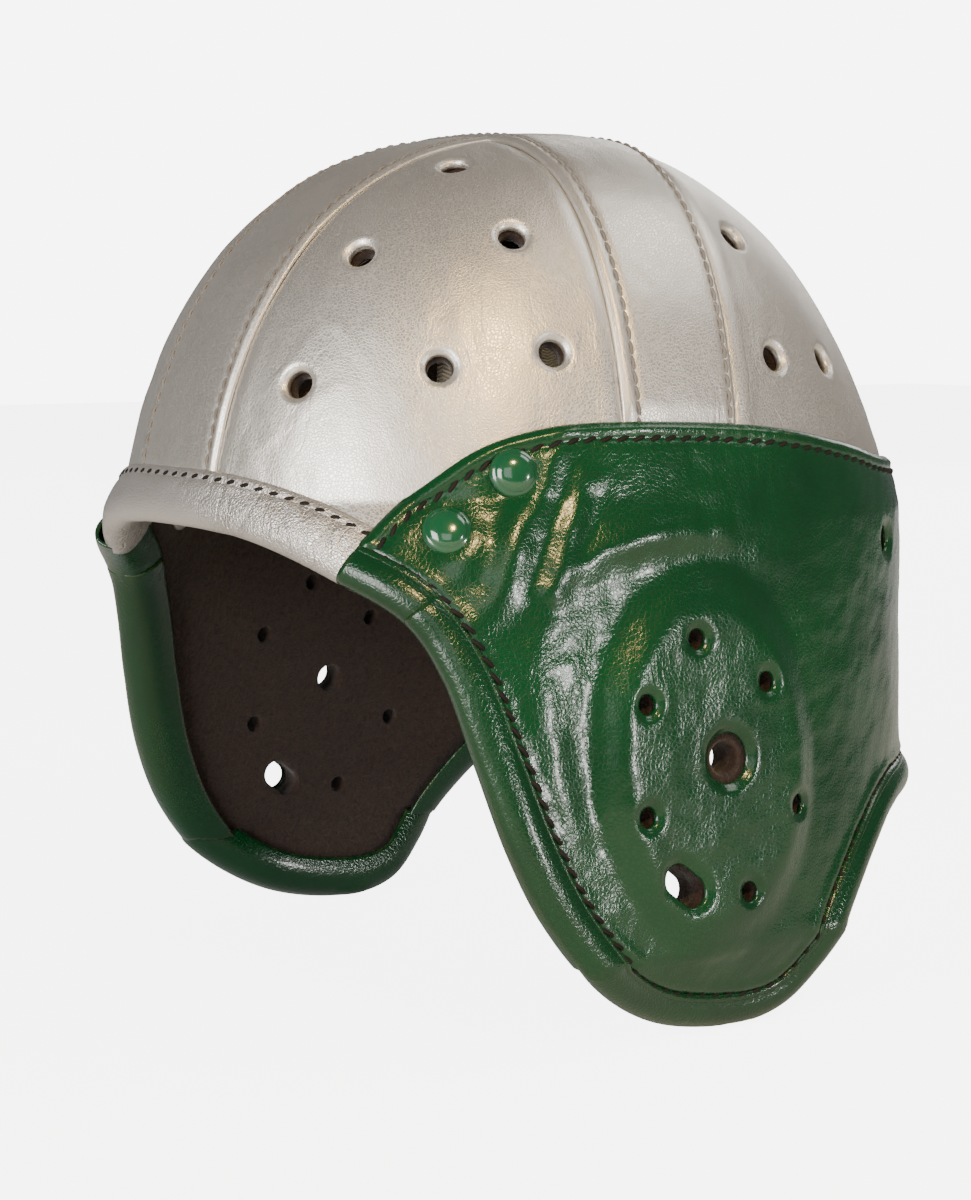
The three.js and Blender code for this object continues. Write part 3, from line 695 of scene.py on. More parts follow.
def bumps(tree, shader, *layers):
    """Chains height layers, each a socket with its depth in metres, into the normal."""
    previous = None
    for height, depth, strength in layers:
        bump = add(tree, "ShaderNodeBump", {"Distance": depth, "Strength": strength})
        tree.links.new(height, bump.inputs["Height"])
        if previous is not None:
            tree.links.new(previous, bump.inputs["Normal"])
        previous = bump.outputs[0]
    tree.links.new(previous, shader.inputs["Normal"])
    return previous


# %% [markdown]
# ### Silver-painted leather
# The crown was brushed with aluminium paint over tan hide. The paint reads as a soft metal:
# mostly metallic, fairly rough, warm grey where it is thin. Fine grain and fine creases show
# through, and it darkens in the creases and rubs away on the edges.

# %% Silver leather
def silver_leather(name, grain_depth, crease_depth, darken, base):
    material, tree, shader = new_material(name, Roughness=0.38, Metallic=0.86)
    grain = use_group(tree, grain_group, Scale=1150.0, Pull=0.5)
    crease = use_group(tree, crease_group, Scale=120.0, Sharpness=16.0)
    wear = use_group(tree, wear_group, Amount=0.45, Scale=240.0)
    thin = remap(tree, crease.outputs["Patch"], 0.35, 0.7)
    colour = mix_colour(tree, thin, base, tuple(0.88 * c for c in base))
    colour = tinted(tree, crease.outputs["Line"], darken, colour, (0.25, 0.22, 0.19))
    colour = tinted(tree, wear.outputs["Mask"], 0.6, colour, (0.80, 0.78, 0.74))
    roughness = remap(tree, grain.outputs["Valley"], 0.0, 1.0, 0.33, 0.50)
    join(tree, (colour, shader.inputs["Base Color"]), (roughness, shader.inputs["Roughness"]))
    bumps(tree, shader, (crease.outputs["Line"], -crease_depth, 0.7),
          (grain.outputs["Height"], grain_depth, 0.55))
    return material


silver = silver_leather("silver_leather", 0.00006, 0.00009, 0.06, (0.66, 0.63, 0.585))
silver_roll = silver_leather("silver_roll_leather", 0.00022, 0.0004, 0.35, (0.60, 0.57, 0.54))

# %% [markdown]
# ### Green lacquered leather
# The side leather was dyed green and lacquered, so a thin clear coat lies over a dark,
# slightly uneven colour. The grain is tight and hard, and it breaks every highlight into
# fine lines. Wear shows brown hide on the raw edges.

# %% Green leather
def green_leather(name, grain_depth, shade=1.0):
    material, tree, shader = new_material(name, Roughness=0.2, Coat_Weight=0.12, Coat_Roughness=0.10,
                                          Specular_IOR_Level=0.42)
    grain = use_group(tree, grain_group, Scale=820.0, Pull=0.7)
    crease = use_group(tree, crease_group, Scale=150.0, Sharpness=11.0)
    wear = use_group(tree, wear_group, Amount=0.8, Scale=300.0)
    deep = tuple(shade * c for c in (0.0008, 0.030, 0.008))
    light = tuple(shade * c for c in (0.0020, 0.052, 0.013))
    colour = mix_colour(tree, remap(tree, crease.outputs["Patch"], 0.3, 0.7), deep, light)
    colour = tinted(tree, grain.outputs["Valley"], 0.35, colour, (0.0006, 0.016, 0.005))
    colour = tinted(tree, wear.outputs["Mask"], 0.4, colour, (0.07, 0.075, 0.022))
    roughness = remap(tree, grain.outputs["Valley"], 0.0, 1.0, 0.15, 0.27)
    join(tree, (colour, shader.inputs["Base Color"]), (roughness, shader.inputs["Roughness"]))
    bumps(tree, shader, (crease.outputs["Line"], 0.00012, 0.6), (grain.outputs["Height"], grain_depth, 0.55))
    return material


green = green_leather("green_leather", 0.00006)
green_roll = green_leather("green_roll_leather", 0.00009, 0.8)

# %% Felt, thread, enamel, steel, webbing and sweatband leather
def felt(name, dark, pale):
    material, tree, shader = new_material(name, Roughness=0.95, Specular_IOR_Level=0.15, Sheen_Weight=0.25)
    fuzz = use_group(tree, fuzz_group, Scale=750.0)
    colour = mix_colour(tree, remap(tree, fuzz.outputs["Height"], 0.35, 0.7), dark, pale)
    join(tree, (colour, shader.inputs["Base Color"]))
    bumps(tree, shader, (fuzz.outputs["Height"], 0.0004, 0.8))
    return material


def thread(name, dark, pale, metallic):
    material, tree, shader = new_material(name, Roughness=0.75, Metallic=metallic, Specular_IOR_Level=0.25)
    fuzz = use_group(tree, fuzz_group, Scale=1800.0)
    join(tree, (mix_colour(tree, fuzz.outputs["Tone"], dark, pale), shader.inputs["Base Color"]))
    bumps(tree, shader, (fuzz.outputs["Height"], 0.0001, 0.5))
    return material


def enamel(name):
    material, tree, shader = new_material(name, Roughness=0.16, Coat_Weight=0.8, Coat_Roughness=0.04)
    wear = use_group(tree, wear_group, Amount=1.0, Scale=500.0)
    fuzz = use_group(tree, fuzz_group, Scale=400.0)
    colour = mix_colour(tree, fuzz.outputs["Tone"], (0.003, 0.050, 0.018), (0.006, 0.085, 0.030))
    colour = tinted(tree, wear.outputs["Mask"], 0.5, colour, (0.10, 0.12, 0.05))
    join(tree, (colour, shader.inputs["Base Color"]))
    bumps(tree, shader, (fuzz.outputs["Tone"], 0.0002, 0.3))
    return material


def steel(name):
    material, tree, shader = new_material(name, Roughness=0.38, Metallic=0.95)
    fuzz = use_group(tree, fuzz_group, Scale=500.0)
    join(tree, (mix_colour(tree, fuzz.outputs["Tone"], (0.30, 0.28, 0.25), (0.55, 0.53, 0.50)),
                shader.inputs["Base Color"]))
    join(tree, (remap(tree, fuzz.outputs["Height"], 0.3, 0.7, 0.3, 0.5), shader.inputs["Roughness"]))
    bumps(tree, shader, (fuzz.outputs["Height"], 0.00003, 0.5))
    return material


def band_leather(name):
    material, tree, shader = new_material(name, Roughness=0.5)
    grain = use_group(tree, grain_group, Scale=700.0, Pull=0.5)
    crease = use_group(tree, crease_group, Scale=100.0, Sharpness=8.0)
    colour = mix_colour(tree, crease.outputs["Patch"], (0.11, 0.055, 0.028), (0.17, 0.09, 0.045))
    colour = tinted(tree, grain.outputs["Valley"], 0.5, colour, (0.05, 0.025, 0.014))
    join(tree, (colour, shader.inputs["Base Color"]))
    bumps(tree, shader, (crease.outputs["Line"], -0.0003, 0.7), (grain.outputs["Height"], 0.00015, 0.6))
    return material


def webbing_cotton(name):
    """A herringbone weave on the strap's own UV map: U across the strap, V along it."""
    material, tree, shader = new_material(name, Roughness=0.85, Sheen_Weight=0.2)
    place = add(tree, "ShaderNodeUVMap", uv_map="weave")
    parts = add(tree, "ShaderNodeSeparateXYZ")
    join(tree, (place.outputs[0], parts.inputs[0]))
    zigzag = calculate(tree, "ABSOLUTE", calculate(tree, "SUBTRACT", calculate(
        tree, "FRACT", calculate(tree, "MULTIPLY", parts.outputs[0], 130.0), 0.0), 0.5), 0.0)
    along = calculate(tree, "MULTIPLY", parts.outputs[1], 900.0)
    rib = calculate(tree, "SINE", calculate(tree, "MULTIPLY", calculate(
        tree, "ADD", along, calculate(tree, "MULTIPLY", zigzag, 3.0)), 6.283), 0.0)
    fuzz = use_group(tree, fuzz_group, Scale=900.0)
    colour = mix_colour(tree, remap(tree, rib, -1, 1), (0.34, 0.29, 0.20), (0.56, 0.50, 0.38))
    colour = tinted(tree, fuzz.outputs["Tone"], 0.35, colour, (0.28, 0.22, 0.14))
    join(tree, (colour, shader.inputs["Base Color"]))
    bumps(tree, shader, (rib, 0.0003, 0.7), (fuzz.outputs["Height"], 0.0001, 0.5))
    return material


lining_felt = felt("lining_felt", (0.012, 0.007, 0.005), (0.045, 0.026, 0.018))
dark_thread = thread("dark_thread", (0.003, 0.002, 0.0015), (0.012, 0.008, 0.005), 0.0)
silver_thread = thread("silver_thread", (0.10, 0.09, 0.08), (0.26, 0.24, 0.22), 0.25)
rivet_enamel = enamel("rivet_enamel")
washer_steel = steel("washer_steel")
band_hide = band_leather("band_hide")
strap_cotton = webbing_cotton("strap_cotton")
print("materials:", len(bpy.data.materials))


def finish(piece, material, slot_name, *nodes, body="root"):
    """Gives a piece its finish and its body, and hides the CAD nodes that it stands for."""
    piece.data.materials.append(material)
    if nodes:
        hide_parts(*nodes)
    if body:
        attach(piece, body)
    volume = signed_volume(piece)
    print(f"{piece.name}: {len(piece.data.polygons)} faces, {volume:.1f} cm3")


def signed_volume(piece):
    """The enclosed volume in cubic centimetres, negative where faces point inwards."""
    mesh = piece.data
    mesh.calc_loop_triangles()
    places = np.zeros(len(mesh.vertices) * 3)
    mesh.vertices.foreach_get("co", places)
    triangles = np.zeros(len(mesh.loop_triangles) * 3, int)
    mesh.loop_triangles.foreach_get("vertices", triangles)
    a, b, c = (places.reshape(-1, 3)[triangles.reshape(-1, 3)[:, k]] for k in range(3))
    return float(np.einsum("ij,ij->i", a, np.cross(b, c)).sum() / 6 * 1e6)

# %% [markdown]
# ## Seams, holes and rivets on the form
# The two crown strips are cut straight, so their edges are found by asking where the form
# reaches a given distance from the middle. The vents are punched in a pattern of six on
# each front quadrant and six on each rear one.

# %% Places of strips, holes and rivets
TOP_STRIP = (40.9, 36.9)                # width low down and at the top
CROSS_STRIP = ((-12.3, -3.0), (33.8, 37.5))   # middle and width, low down and at the top
VENT_RADIUS, EAR_HOLE_RADIUS, SMALL_HOLE_RADIUS = 4.0, 7.0, 3.0
SLOT_PLACE, SLOT_END_RADIUS, SLOT_STRETCH, SLOT_TILT = (-22, -90.5), 4.5, 3.0, math.radians(-38)
FRONT_VENTS = [(26.1, 70.2), (53.9, 74.8), (22.1, 37.2), (42.9, 41.5), (60.9, 45.1), (36.6, 94)]
REAR_VENTS = [(113.9, 75.3), (143, 71), (110.1, 43.1), (126.7, 41.9), (150, 39), (133, 94)]
BACK_HOLE = (132.4, -8.2)
RIVETS = {"upper": (54, 14.8), "lower": (45.3, 0.6)}
SMALL_HOLES = [(17.5, -74), (-1, -94.5), (-33, -72), (-31, -43.8), (-14, -28.4), (8.3, -41)]
EAR_HOLE = (-6, -59.5)
UNDER = 3.0                             # how far a quadrant runs in under a strip
LAP = 8.0                               # how far the side leather covers the crown
EDGE_START = 2.0                        # from the true edge to where a sheet stops inside its binding
BROW_END_Y = -98.0


def share_up(z):
    return (np.asarray(z) - WIDEST_Z) / (CROWN_TOP_Z - WIDEST_Z)


def top_strip_half(z):
    return (TOP_STRIP[0] + (TOP_STRIP[1] - TOP_STRIP[0]) * share_up(z)) / 2


def cross_strip_side(z, side):
    """The y of the cross strip's front (-1) or rear (+1) edge."""
    (mid_low, mid_high), (wide_low, wide_high) = CROSS_STRIP
    up = share_up(z)
    return mid_low + (mid_high - mid_low) * up + side * (wide_low + (wide_high - wide_low) * up) / 2


def turned(place):
    return math.radians(place[0]), place[1]


def across(place):
    return float(angle_at(*place)), place[1]


EDGE_INSIDE = inset(EDGE, EDGE_START)


def edge_level(angle):
    return np.interp(angle * WALL_RADIUS, EDGE_INSIDE[:, 0], EDGE_INSIDE[:, 1])


def seam_level(angle):
    return np.interp(np.abs(angle) * WALL_RADIUS, SEAM[:, 0], SEAM[:, 1])


def crown_bottom(angle):
    """Where the crown's leather stops: under the side leather, or inside the brow binding."""
    return np.maximum(edge_level(angle), seam_level(angle) - LAP)


def outline_of(*curves, step=1.15, lift=from_crown):
    """One closed anticlockwise outline from curves that follow each other."""
    loop = np.vstack([respaced(curve, step, lift)[:-1] for curve in curves])
    area = np.sum(loop[:, 0] * np.roll(loop[:, 1], -1) - np.roll(loop[:, 0], -1) * loop[:, 1])
    return loop if area > 0 else loop[::-1].copy()


def strip_curve(low_angle, high_angle, axis, value, count=200):
    angles = np.linspace(low_angle, high_angle, count)
    return to_crown(angles, level_at(angles, axis, value, -20.0))


def crossing(angles, difference):
    """The first angle where the difference changes sign."""
    values = difference(angles)
    k = int(np.argmax(np.sign(values[1:]) != np.sign(values[:-1])))
    share = values[k] / (values[k] - values[k + 1])
    return angles[k] + share * (angles[k + 1] - angles[k])


print("crown bottom at the middle of the brow:", round(float(crown_bottom(np.array(0.0))), 2))

# %% [markdown]
# ## Crown quadrants
# Each quadrant is wet-formed leather with its vents punched from outside, so the rims are
# pushed in. Where a strip lies over a quadrant, the quadrant is skived thin and dips under.

# %% How high the crown's leather lies
SKIVED = 1.0
VENT_SINK, VENT_REACH = 1.0, 1.7


def vent_sink(base, centres, radius, sink, reach):
    """How far the leather is pushed in round punched holes."""
    total = np.zeros(len(base))
    for centre in centres:
        away = np.linalg.norm(base - centre, axis=1)
        total += sink * (1 - smooth_step(away, radius - 0.3, radius + reach)) ** 1.6
        total -= 0.05 * sink * np.exp(-((away - radius - reach) / 1.4) ** 2)
    return total


def beyond_strips(base):
    """Distance outside the nearest crown strip's edge, negative beneath the strip."""
    beside_top = np.abs(base[:, 0]) - top_strip_half(base[:, 2])
    front = cross_strip_side(base[:, 2], -1) - base[:, 1]
    rear = base[:, 1] - cross_strip_side(base[:, 2], 1)
    return np.minimum(beside_top, np.maximum(front, rear))


def quadrant_heights(vents, seed):
    centres = [form_point(*turned(v)) for v in vents]

    def outer(base, flat):
        beyond = beyond_strips(base)
        dip = SKIVED * (1 - smooth_step(beyond, -1.2, 2.4))
        puff = 0.28 * np.exp(-((beyond - 4.5) / 2.6) ** 2)
        swell = 0.16 * ripple(base, 38, seed) + 0.05 * ripple(base, 11, seed + 1)
        lines = 0.10 * creases(base, 26, seed + 2) * smooth_step(ripple(base, 50, seed + 3), 0.1, 0.9)
        return swell + puff + lines - dip - vent_sink(base, centres, VENT_RADIUS, VENT_SINK, VENT_REACH)

    def inner(base, flat):
        return -2.2 - vent_sink(base, centres, VENT_RADIUS, 0.9, VENT_REACH)
    return outer, inner


def quadrant(name, is_front, mirror):
    vents = FRONT_VENTS if is_front else REAR_VENTS
    side = -1 if is_front else 1
    beside = lambda z: top_strip_half(z) - UNDER
    across_edge = lambda z: cross_strip_side(z, side) - side * UNDER
    every = np.radians(np.linspace(4, 60, 1200) if is_front else np.linspace(176, 110, 1200))
    on_strip = level_at(every, 0, beside, -20.0)
    low = crossing(every, lambda a: level_at(a, 0, beside, -20.0) - crown_bottom(a))
    high = crossing(every, lambda a: form_point(a, on_strip)[:, 1] - across_edge(on_strip))
    sides = np.linspace(high, math.radians(85 if is_front else 92), 1200)
    far = crossing(sides, lambda a: level_at(a, 1, across_edge, 0.0) - crown_bottom(a))
    up = strip_curve(low, high, 0, beside)
    down = strip_curve(high, far, 1, across_edge)
    bottom_angles = np.linspace(far, low, 300)
    bottom = to_crown(bottom_angles, crown_bottom(bottom_angles))
    outline = outline_of(up, down, bottom)
    holes = [punched(turned(v), to_crown, VENT_RADIUS - 0.15) for v in vents]
    filled = net(outline, holes, step=1.45)
    outer, inner = quadrant_heights(vents, 11 if is_front else 23)
    return sheet_piece(name, filled, from_crown, outer, inner, bulge=0.25, mirror=mirror)


# %% Make the quadrants
for label, is_front in (("front", True), ("rear", False)):
    for side in ("left", "right"):
        name = f"crown_panel_{label}_{side}"
        finish(quadrant(f"{name}_hide", is_front, side == "right"), silver, "silver_leather", name)

# %% [markdown]
# ## Crown strips
# The strips are laid over the quadrants with their edges folded under, then sewn down a
# few millimetres in. The fold stands proud and the stitch row pulls a small channel.

# %% Strip heights and outlines
STRIP_RAISE, FOLD_ROUND, STRIP_UNDERSIDE = 0.85, 0.5, -0.75
TOP_STITCH_IN, CROSS_STITCH_IN = 3.0, {-1: 4.0, 1: 2.2}


def strip_outer(base, inside, stitched, seed):
    """Height of a strip whose edge is this far away and whose stitch row is this far too."""
    above = np.minimum(base[:, 2] - seam_level(np.arctan2(base[:, 0], -base[:, 1])),
                       base[:, 2] - edge_level(np.abs(np.arctan2(base[:, 0], -base[:, 1]))) - 8)
    lying = 0.12 + 0.88 * smooth_step(above, -1.0, 6.0)
    edge_fall = FOLD_ROUND * (1 - smooth_step(inside, 0.0, 1.2))
    channel = 0.42 * np.exp(-(stitched / 0.75) ** 2)
    fold = 0.22 * np.exp(-((inside - 1.7) / 0.9) ** 2)
    swell = 0.12 * ripple(base, 30, seed) + 0.04 * ripple(base, 9, seed + 1)
    return (STRIP_RAISE + swell + fold - channel - edge_fall) * lying


def strip_inner(base, flat):
    above = base[:, 2] - seam_level(np.arctan2(base[:, 0], -base[:, 1]))
    return STRIP_UNDERSIDE - 0.3 * (1 - smooth_step(above, -1.0, 6.0))


def top_strip(name, is_front):
    side = -1 if is_front else 1
    across_edge = lambda z: cross_strip_side(z, side) - side * UNDER
    every = np.radians(np.linspace(4, 70, 1200) if is_front else np.linspace(176, 100, 1200))
    low = crossing(every, lambda a: level_at(a, 0, top_strip_half, -20.0) - crown_bottom(a))
    on_strip = level_at(every, 0, top_strip_half, -20.0)
    high = crossing(every, lambda a: form_point(a, on_strip)[:, 1] - across_edge(on_strip))
    right = strip_curve(low, high, 0, top_strip_half)
    middle = 0.0 if is_front else math.pi
    end_angles = np.linspace(high, 2 * middle - high, 60)
    top = to_crown(end_angles, level_at(end_angles, 1, across_edge, 0.0))
    low_angles = np.linspace(2 * middle - low, low, 60)
    low_line = to_crown(low_angles, crown_bottom(np.abs((low_angles + math.pi) % (2 * math.pi) - math.pi)))
    stitch_half = lambda z: top_strip_half(z) - TOP_STITCH_IN
    first_stitch = crossing(every, lambda a: level_at(a, 0, stitch_half, -20.0) - crown_bottom(a))
    stitches = strip_curve(first_stitch, high, 0, stitch_half)
    rows = [r for line in (stitches, stitches * [-1, 1]) for r in (inset(line, -0.6), line, inset(line, 0.6))]
    outline = outline_of(right, top, right[::-1] * [-1, 1], low_line)
    filled = net(outline, rows=[respaced(r, 1.0, from_crown) for r in rows], step=1.45)

    def outer(base, flat):
        inside = top_strip_half(base[:, 2]) - np.abs(base[:, 0])
        return strip_outer(base, inside, inside - TOP_STITCH_IN, 31 if is_front else 37)
    return sheet_piece(name, filled, from_crown, outer, strip_inner, bulge=0.35), stitches


# The turns between which each edge of the cross strip meets the crown's bottom.
CROSS_SEARCH = {-1: (45, 82), 1: (135, 91.5)}


def cross_strip(name):
    curves, rows, stitch_lines = {}, [], {}
    for side in (-1, 1):
        edge = lambda z, side=side: cross_strip_side(z, side)
        stitched = lambda z, side=side: cross_strip_side(z, side) - side * CROSS_STITCH_IN[side]
        sides = np.radians(np.linspace(*CROSS_SEARCH[side], 1200))
        far = crossing(sides, lambda a: level_at(a, 1, edge, 0.0) - crown_bottom(a))
        first = 0.0 if side < 0 else math.pi
        curves[side] = strip_curve(far, first, 1, edge)
        far_stitch = crossing(sides, lambda a: level_at(a, 1, stitched, 0.0) - crown_bottom(a))
        stitch_lines[side] = strip_curve(far_stitch, first, 1, stitched)
        for d in (-0.6, 0.0, 0.6):
            line = respaced(inset(stitch_lines[side], d), 1.0, from_crown)
            rows += [line, line * [-1, 1]]
    front, rear = curves[-1], curves[1]
    ends = [np.arctan2(c[0, 0], -c[0, 1]) for c in (front, rear)]
    low_angles = np.linspace(ends[1], ends[0], 60)
    low_line = to_crown(low_angles, crown_bottom(low_angles))
    flip = [-1, 1]
    outline = outline_of(front, front[::-1] * flip, low_line[::-1] * flip, rear * flip, rear[::-1], low_line)
    filled = net(outline, rows=rows, step=1.45)

    def outer(base, flat):
        front_in = base[:, 1] - cross_strip_side(base[:, 2], -1)
        rear_in = cross_strip_side(base[:, 2], 1) - base[:, 1]
        stitched = np.minimum(np.abs(front_in - CROSS_STITCH_IN[-1]), np.abs(rear_in - CROSS_STITCH_IN[1]))
        return strip_outer(base, np.minimum(front_in, rear_in), stitched, 41) + 0.35 * smooth_step(
            base[:, 2] - seam_level(np.arctan2(base[:, 0], -base[:, 1])), 0, 30)
    return sheet_piece(name, filled, from_crown, outer, strip_inner, bulge=0.35), stitch_lines


# %% Make the strips
front_strip, front_stitches = top_strip("top_strip_front_hide", True)
rear_strip, rear_stitches = top_strip("top_strip_rear_hide", False)
over_strip, cross_stitches = cross_strip("cross_strip_hide")
finish(front_strip, silver, "silver_leather", "top_strip_front")
finish(rear_strip, silver, "silver_leather", "top_strip_rear")
finish(over_strip, silver, "silver_leather", "cross_strip")

# %% [markdown]
# ## Side leathers
# One piece of green leather on each side makes the side panel and the ear flap. It was
# wet-moulded over an ear cup, which leaves a low dome inside a shallow channel, and the
# rivets pull folds out of it. It bends where the flap flexes; here it is left unattached.

# %% Shape of the side leather
SIDE_FACE, SIDE_BACK = 2.5, 0.3
CUP_MIDDLE, CUP_HALF, CUP_RISE = (-10.5, -60.0), (38.0, 53.0), 3.6
CUP_SHOULDER = math.radians(125)        # the cup is crispest towards its upper front
SEAM_STITCH_IN, EDGE_STITCH_IN = 3.9, 8.3
FOLDS = [   # each fold's line seen from the side, its height and its half width
    ([(-46.0, 24.5), (-49.5, 16), (-52.5, 9), (-58.7, 1.3), (-62.4, -5.6), (-67.3, -15.4), (-74, -21.5)],
     1.9, 4.4),
    ([(-40.5, 12), (-44.2, 5), (-50.3, -5.8), (-54.2, -13.5)], 1.7, 3.8),
    ([(-54.6, -14.5), (-44.4, -7.7), (-32.1, -3.3), (-17.2, -1.4), (-2, -2.4)], 1.5, 4.0),
    ([(-66.5, 3.4), (-70.5, -2.5), (-78.5, -10.5)], 1.2, 4.2),
    ([(-57.5, 14.5), (-62, 7), (-67, -2), (-70, -12)], -0.5, 3.0),
    ([(-45.2, 13), (-51, -1), (-58, -13), (-63, -24)], -0.6, 3.2),
    ([(-39, 4), (-44, -2.5), (-48, -6.5)], -0.5, 3.0),
    ([(-58, -24), (-60, -38), (-58, -56), (-53, -76), (-48, -86)], 0.7, 5.5),
    ([(20, 19), (34, 6), (44, -16)], 0.35, 7.0),
    ([(40, 14), (58, -4), (70, -34)], 0.45, 9.0),
]


def fold_height(base):
    """Folds fade in and out along their lines."""
    total = np.zeros(len(base))
    side_view = base[:, 1:3]
    for points, height, width in FOLDS:
        line = smooth_line(points, 8)
        best = np.full(len(base), np.inf)
        where = np.zeros(len(base))
        reach = lengths_along(line)
        for k, (a, b) in enumerate(zip(line[:-1], line[1:])):
            span = b - a
            share = np.clip((side_view - a) @ span / (span @ span), 0, 1)
            away = np.linalg.norm(side_view - a - share[:, None] * span, axis=1)
            nearer = away < best
            best[nearer] = away[nearer]
            where[nearer] = (reach[k] + share * (reach[k + 1] - reach[k]))[nearer]
        fade = np.sin(math.pi * np.clip(where / reach[-1], 0.08, 0.92)) ** 0.6
        total += height * fade * np.exp(-(best / width) ** 2)
    return total


def cup_height(base):
    from_middle = np.hypot((base[:, 1] - CUP_MIDDLE[0]) / CUP_HALF[0],
                           (base[:, 2] - CUP_MIDDLE[1]) / CUP_HALF[1])
    dome = CUP_RISE * smooth_step(1.0 - from_middle, 0.0, 0.30)
    turn = np.arctan2(base[:, 2] - CUP_MIDDLE[1], base[:, 1] - CUP_MIDDLE[0])
    channel = (0.08 + 0.12 * np.cos(turn - CUP_SHOULDER)) * np.exp(-((from_middle - 1.05) / 0.08) ** 2)
    return dome - channel


EAR_HOLES = [(across(EAR_HOLE), EAR_HOLE_RADIUS)] + [(across(h), SMALL_HOLE_RADIUS) for h in SMALL_HOLES]
EAR_HOLES.append((turned(BACK_HOLE), VENT_RADIUS))
SLOT = across(SLOT_PLACE)
SEAM_LINE = form_point(*from_wall(SEAM))
EDGE_LINE = form_point(*from_wall(EDGE))
RIVET_POINTS = [form_point(*turned(place)) for place in RIVETS.values()]


def hole_sink(base):
    total = np.zeros(len(base))
    for place, radius in EAR_HOLES:
        total += vent_sink(base, [form_point(*place)], radius, 0.55 + 0.12 * radius, 2.6)
    slot_middle = form_point(*SLOT)
    offset = (base - slot_middle)[:, 1:3]
    c, s = math.cos(SLOT_TILT), math.sin(SLOT_TILT)
    lengthwise = offset @ np.array([c, s])
    crosswise = offset @ np.array([-s, c])
    away = np.hypot(np.maximum(np.abs(lengthwise) - SLOT_STRETCH, 0), crosswise)
    near = np.abs(base[:, 0] - slot_middle[0]) < 30
    return total + near * 0.9 * (1 - smooth_step(away, SLOT_END_RADIUS - 0.3, SLOT_END_RADIUS + 3)) ** 1.5


def side_outer(base, flat):
    from_seam = distance_to(base, SEAM_LINE[::3])
    from_edge = distance_to(base, EDGE_LINE[::3])
    height = SIDE_FACE + cup_height(base) + fold_height(base) - hole_sink(base)
    height += 0.22 * ripple(base, 34, 51) + 0.07 * ripple(base, 10, 52) + 0.05 * ripple(base, 4.5, 53)
    height -= 0.55 * np.exp(-((from_seam - SEAM_STITCH_IN) / 0.8) ** 2)
    height += 0.35 * np.exp(-((from_seam - 1.9) / 1.1) ** 2)
    height -= 0.6 * (1 - smooth_step(from_seam, 0.0, 1.1))
    height -= 0.75 * (1 - smooth_step(from_edge, 8.0, 9.8))
    height += 0.5 * np.exp(-((from_edge - 10.6) / 1.3) ** 2)
    for point in RIVET_POINTS:
        away = np.linalg.norm(base - point, axis=1)
        height -= 0.75 * np.exp(-(away / 6.5) ** 2)
    at_back = smooth_step(np.abs(base[:, 0]), 5.0, 10.5)
    height = np.where(base[:, 1] > 60, height - 0.8 * (1 - at_back), height)
    return np.maximum(height, SIDE_BACK + 0.7)


def side_inner(base, flat):
    raised = np.maximum(cup_height(base), 0) + np.maximum(fold_height(base), 0) * 0.8
    return SIDE_BACK + raised - 0.35 * np.minimum(hole_sink(base), 1.0)


def side_outline(clear_top, clear_edge, back_gap):
    """The side leather's outline on the wall map, kept this far from its true edges."""
    low, high = inset(EDGE, clear_edge), SEAM - [0, clear_top]
    angles = np.linspace(math.radians(20), math.radians(80), 3000)
    level_low = lambda a: np.interp(a * WALL_RADIUS, low[:, 0], low[:, 1])
    level_high = lambda a: np.interp(a * WALL_RADIUS, high[:, 0], high[:, 1])
    first = crossing(angles, lambda a: level_high(a) - level_low(a) - 0.4) * WALL_RADIUS
    last = (math.pi - back_gap / BACK_REACH) * WALL_RADIUS
    bottom = np.vstack([[first, level_low(first / WALL_RADIUS)],
                        low[(low[:, 0] > first) & (low[:, 0] < last)],
                        [last, level_low(last / WALL_RADIUS)]])
    top = np.vstack([[last, level_high(last / WALL_RADIUS)],
                     high[(high[:, 0] > first) & (high[:, 0] < last)][::-1],
                     [first, level_high(first / WALL_RADIUS)]])
    back = np.linspace(bottom[-1], top[0], 50)
    front = np.linspace(top[-1], bottom[0], 3)
    return outline_of(bottom, back, top, front, lift=from_wall)


def side_holes(margin, fray=0.0):
    holes = [punched(place, to_wall, radius + margin - (fray if radius > 5 else 0), 30 if radius > 5 else 22)
             for place, radius in EAR_HOLES]
    return holes + [punched(SLOT, to_wall, SLOT_END_RADIUS + margin, 34, SLOT_STRETCH, SLOT_TILT)]


def bends(piece):
    """Bakes the piece's placement into its mesh."""
    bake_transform(piece)


# %% Make the side leathers
seam_rows = [SEAM - [0, d] for d in (SEAM_STITCH_IN - 0.7, SEAM_STITCH_IN, SEAM_STITCH_IN + 0.7)]
side_net = net(side_outline(0, EDGE_START, 1.5), side_holes(0), rows=seam_rows, step=1.45)
for side in ("left", "right"):
    piece = sheet_piece(f"side_leather_{side}", side_net, from_wall, side_outer, side_inner, bulge=0.55,
                        mirror=side == "right")
    finish(piece, green, "green_leather", f"side_panel_{side}", f"ear_flap_{side}", body=None)
    bends(piece)

# %% [markdown]
# ## Felt
# Thick felt lines the crown and the flaps. Its holes line up with the punched leather, and
# it is pinched thinner at the edges where the binding holds it.

# %% Felt heights and pieces
FELT_FACE, PINCH = -6.5, 2.9


def felt_inner(base, flat):
    mirrored = np.abs(base) * [1, 0, 0] + base * [0, 1, 1]
    from_edge = distance_to(mirrored, EDGE_LINE[::4])
    return FELT_FACE + PINCH * (1 - smooth_step(from_edge, 3, 12)) + 0.12 * ripple(base, 12, 61)


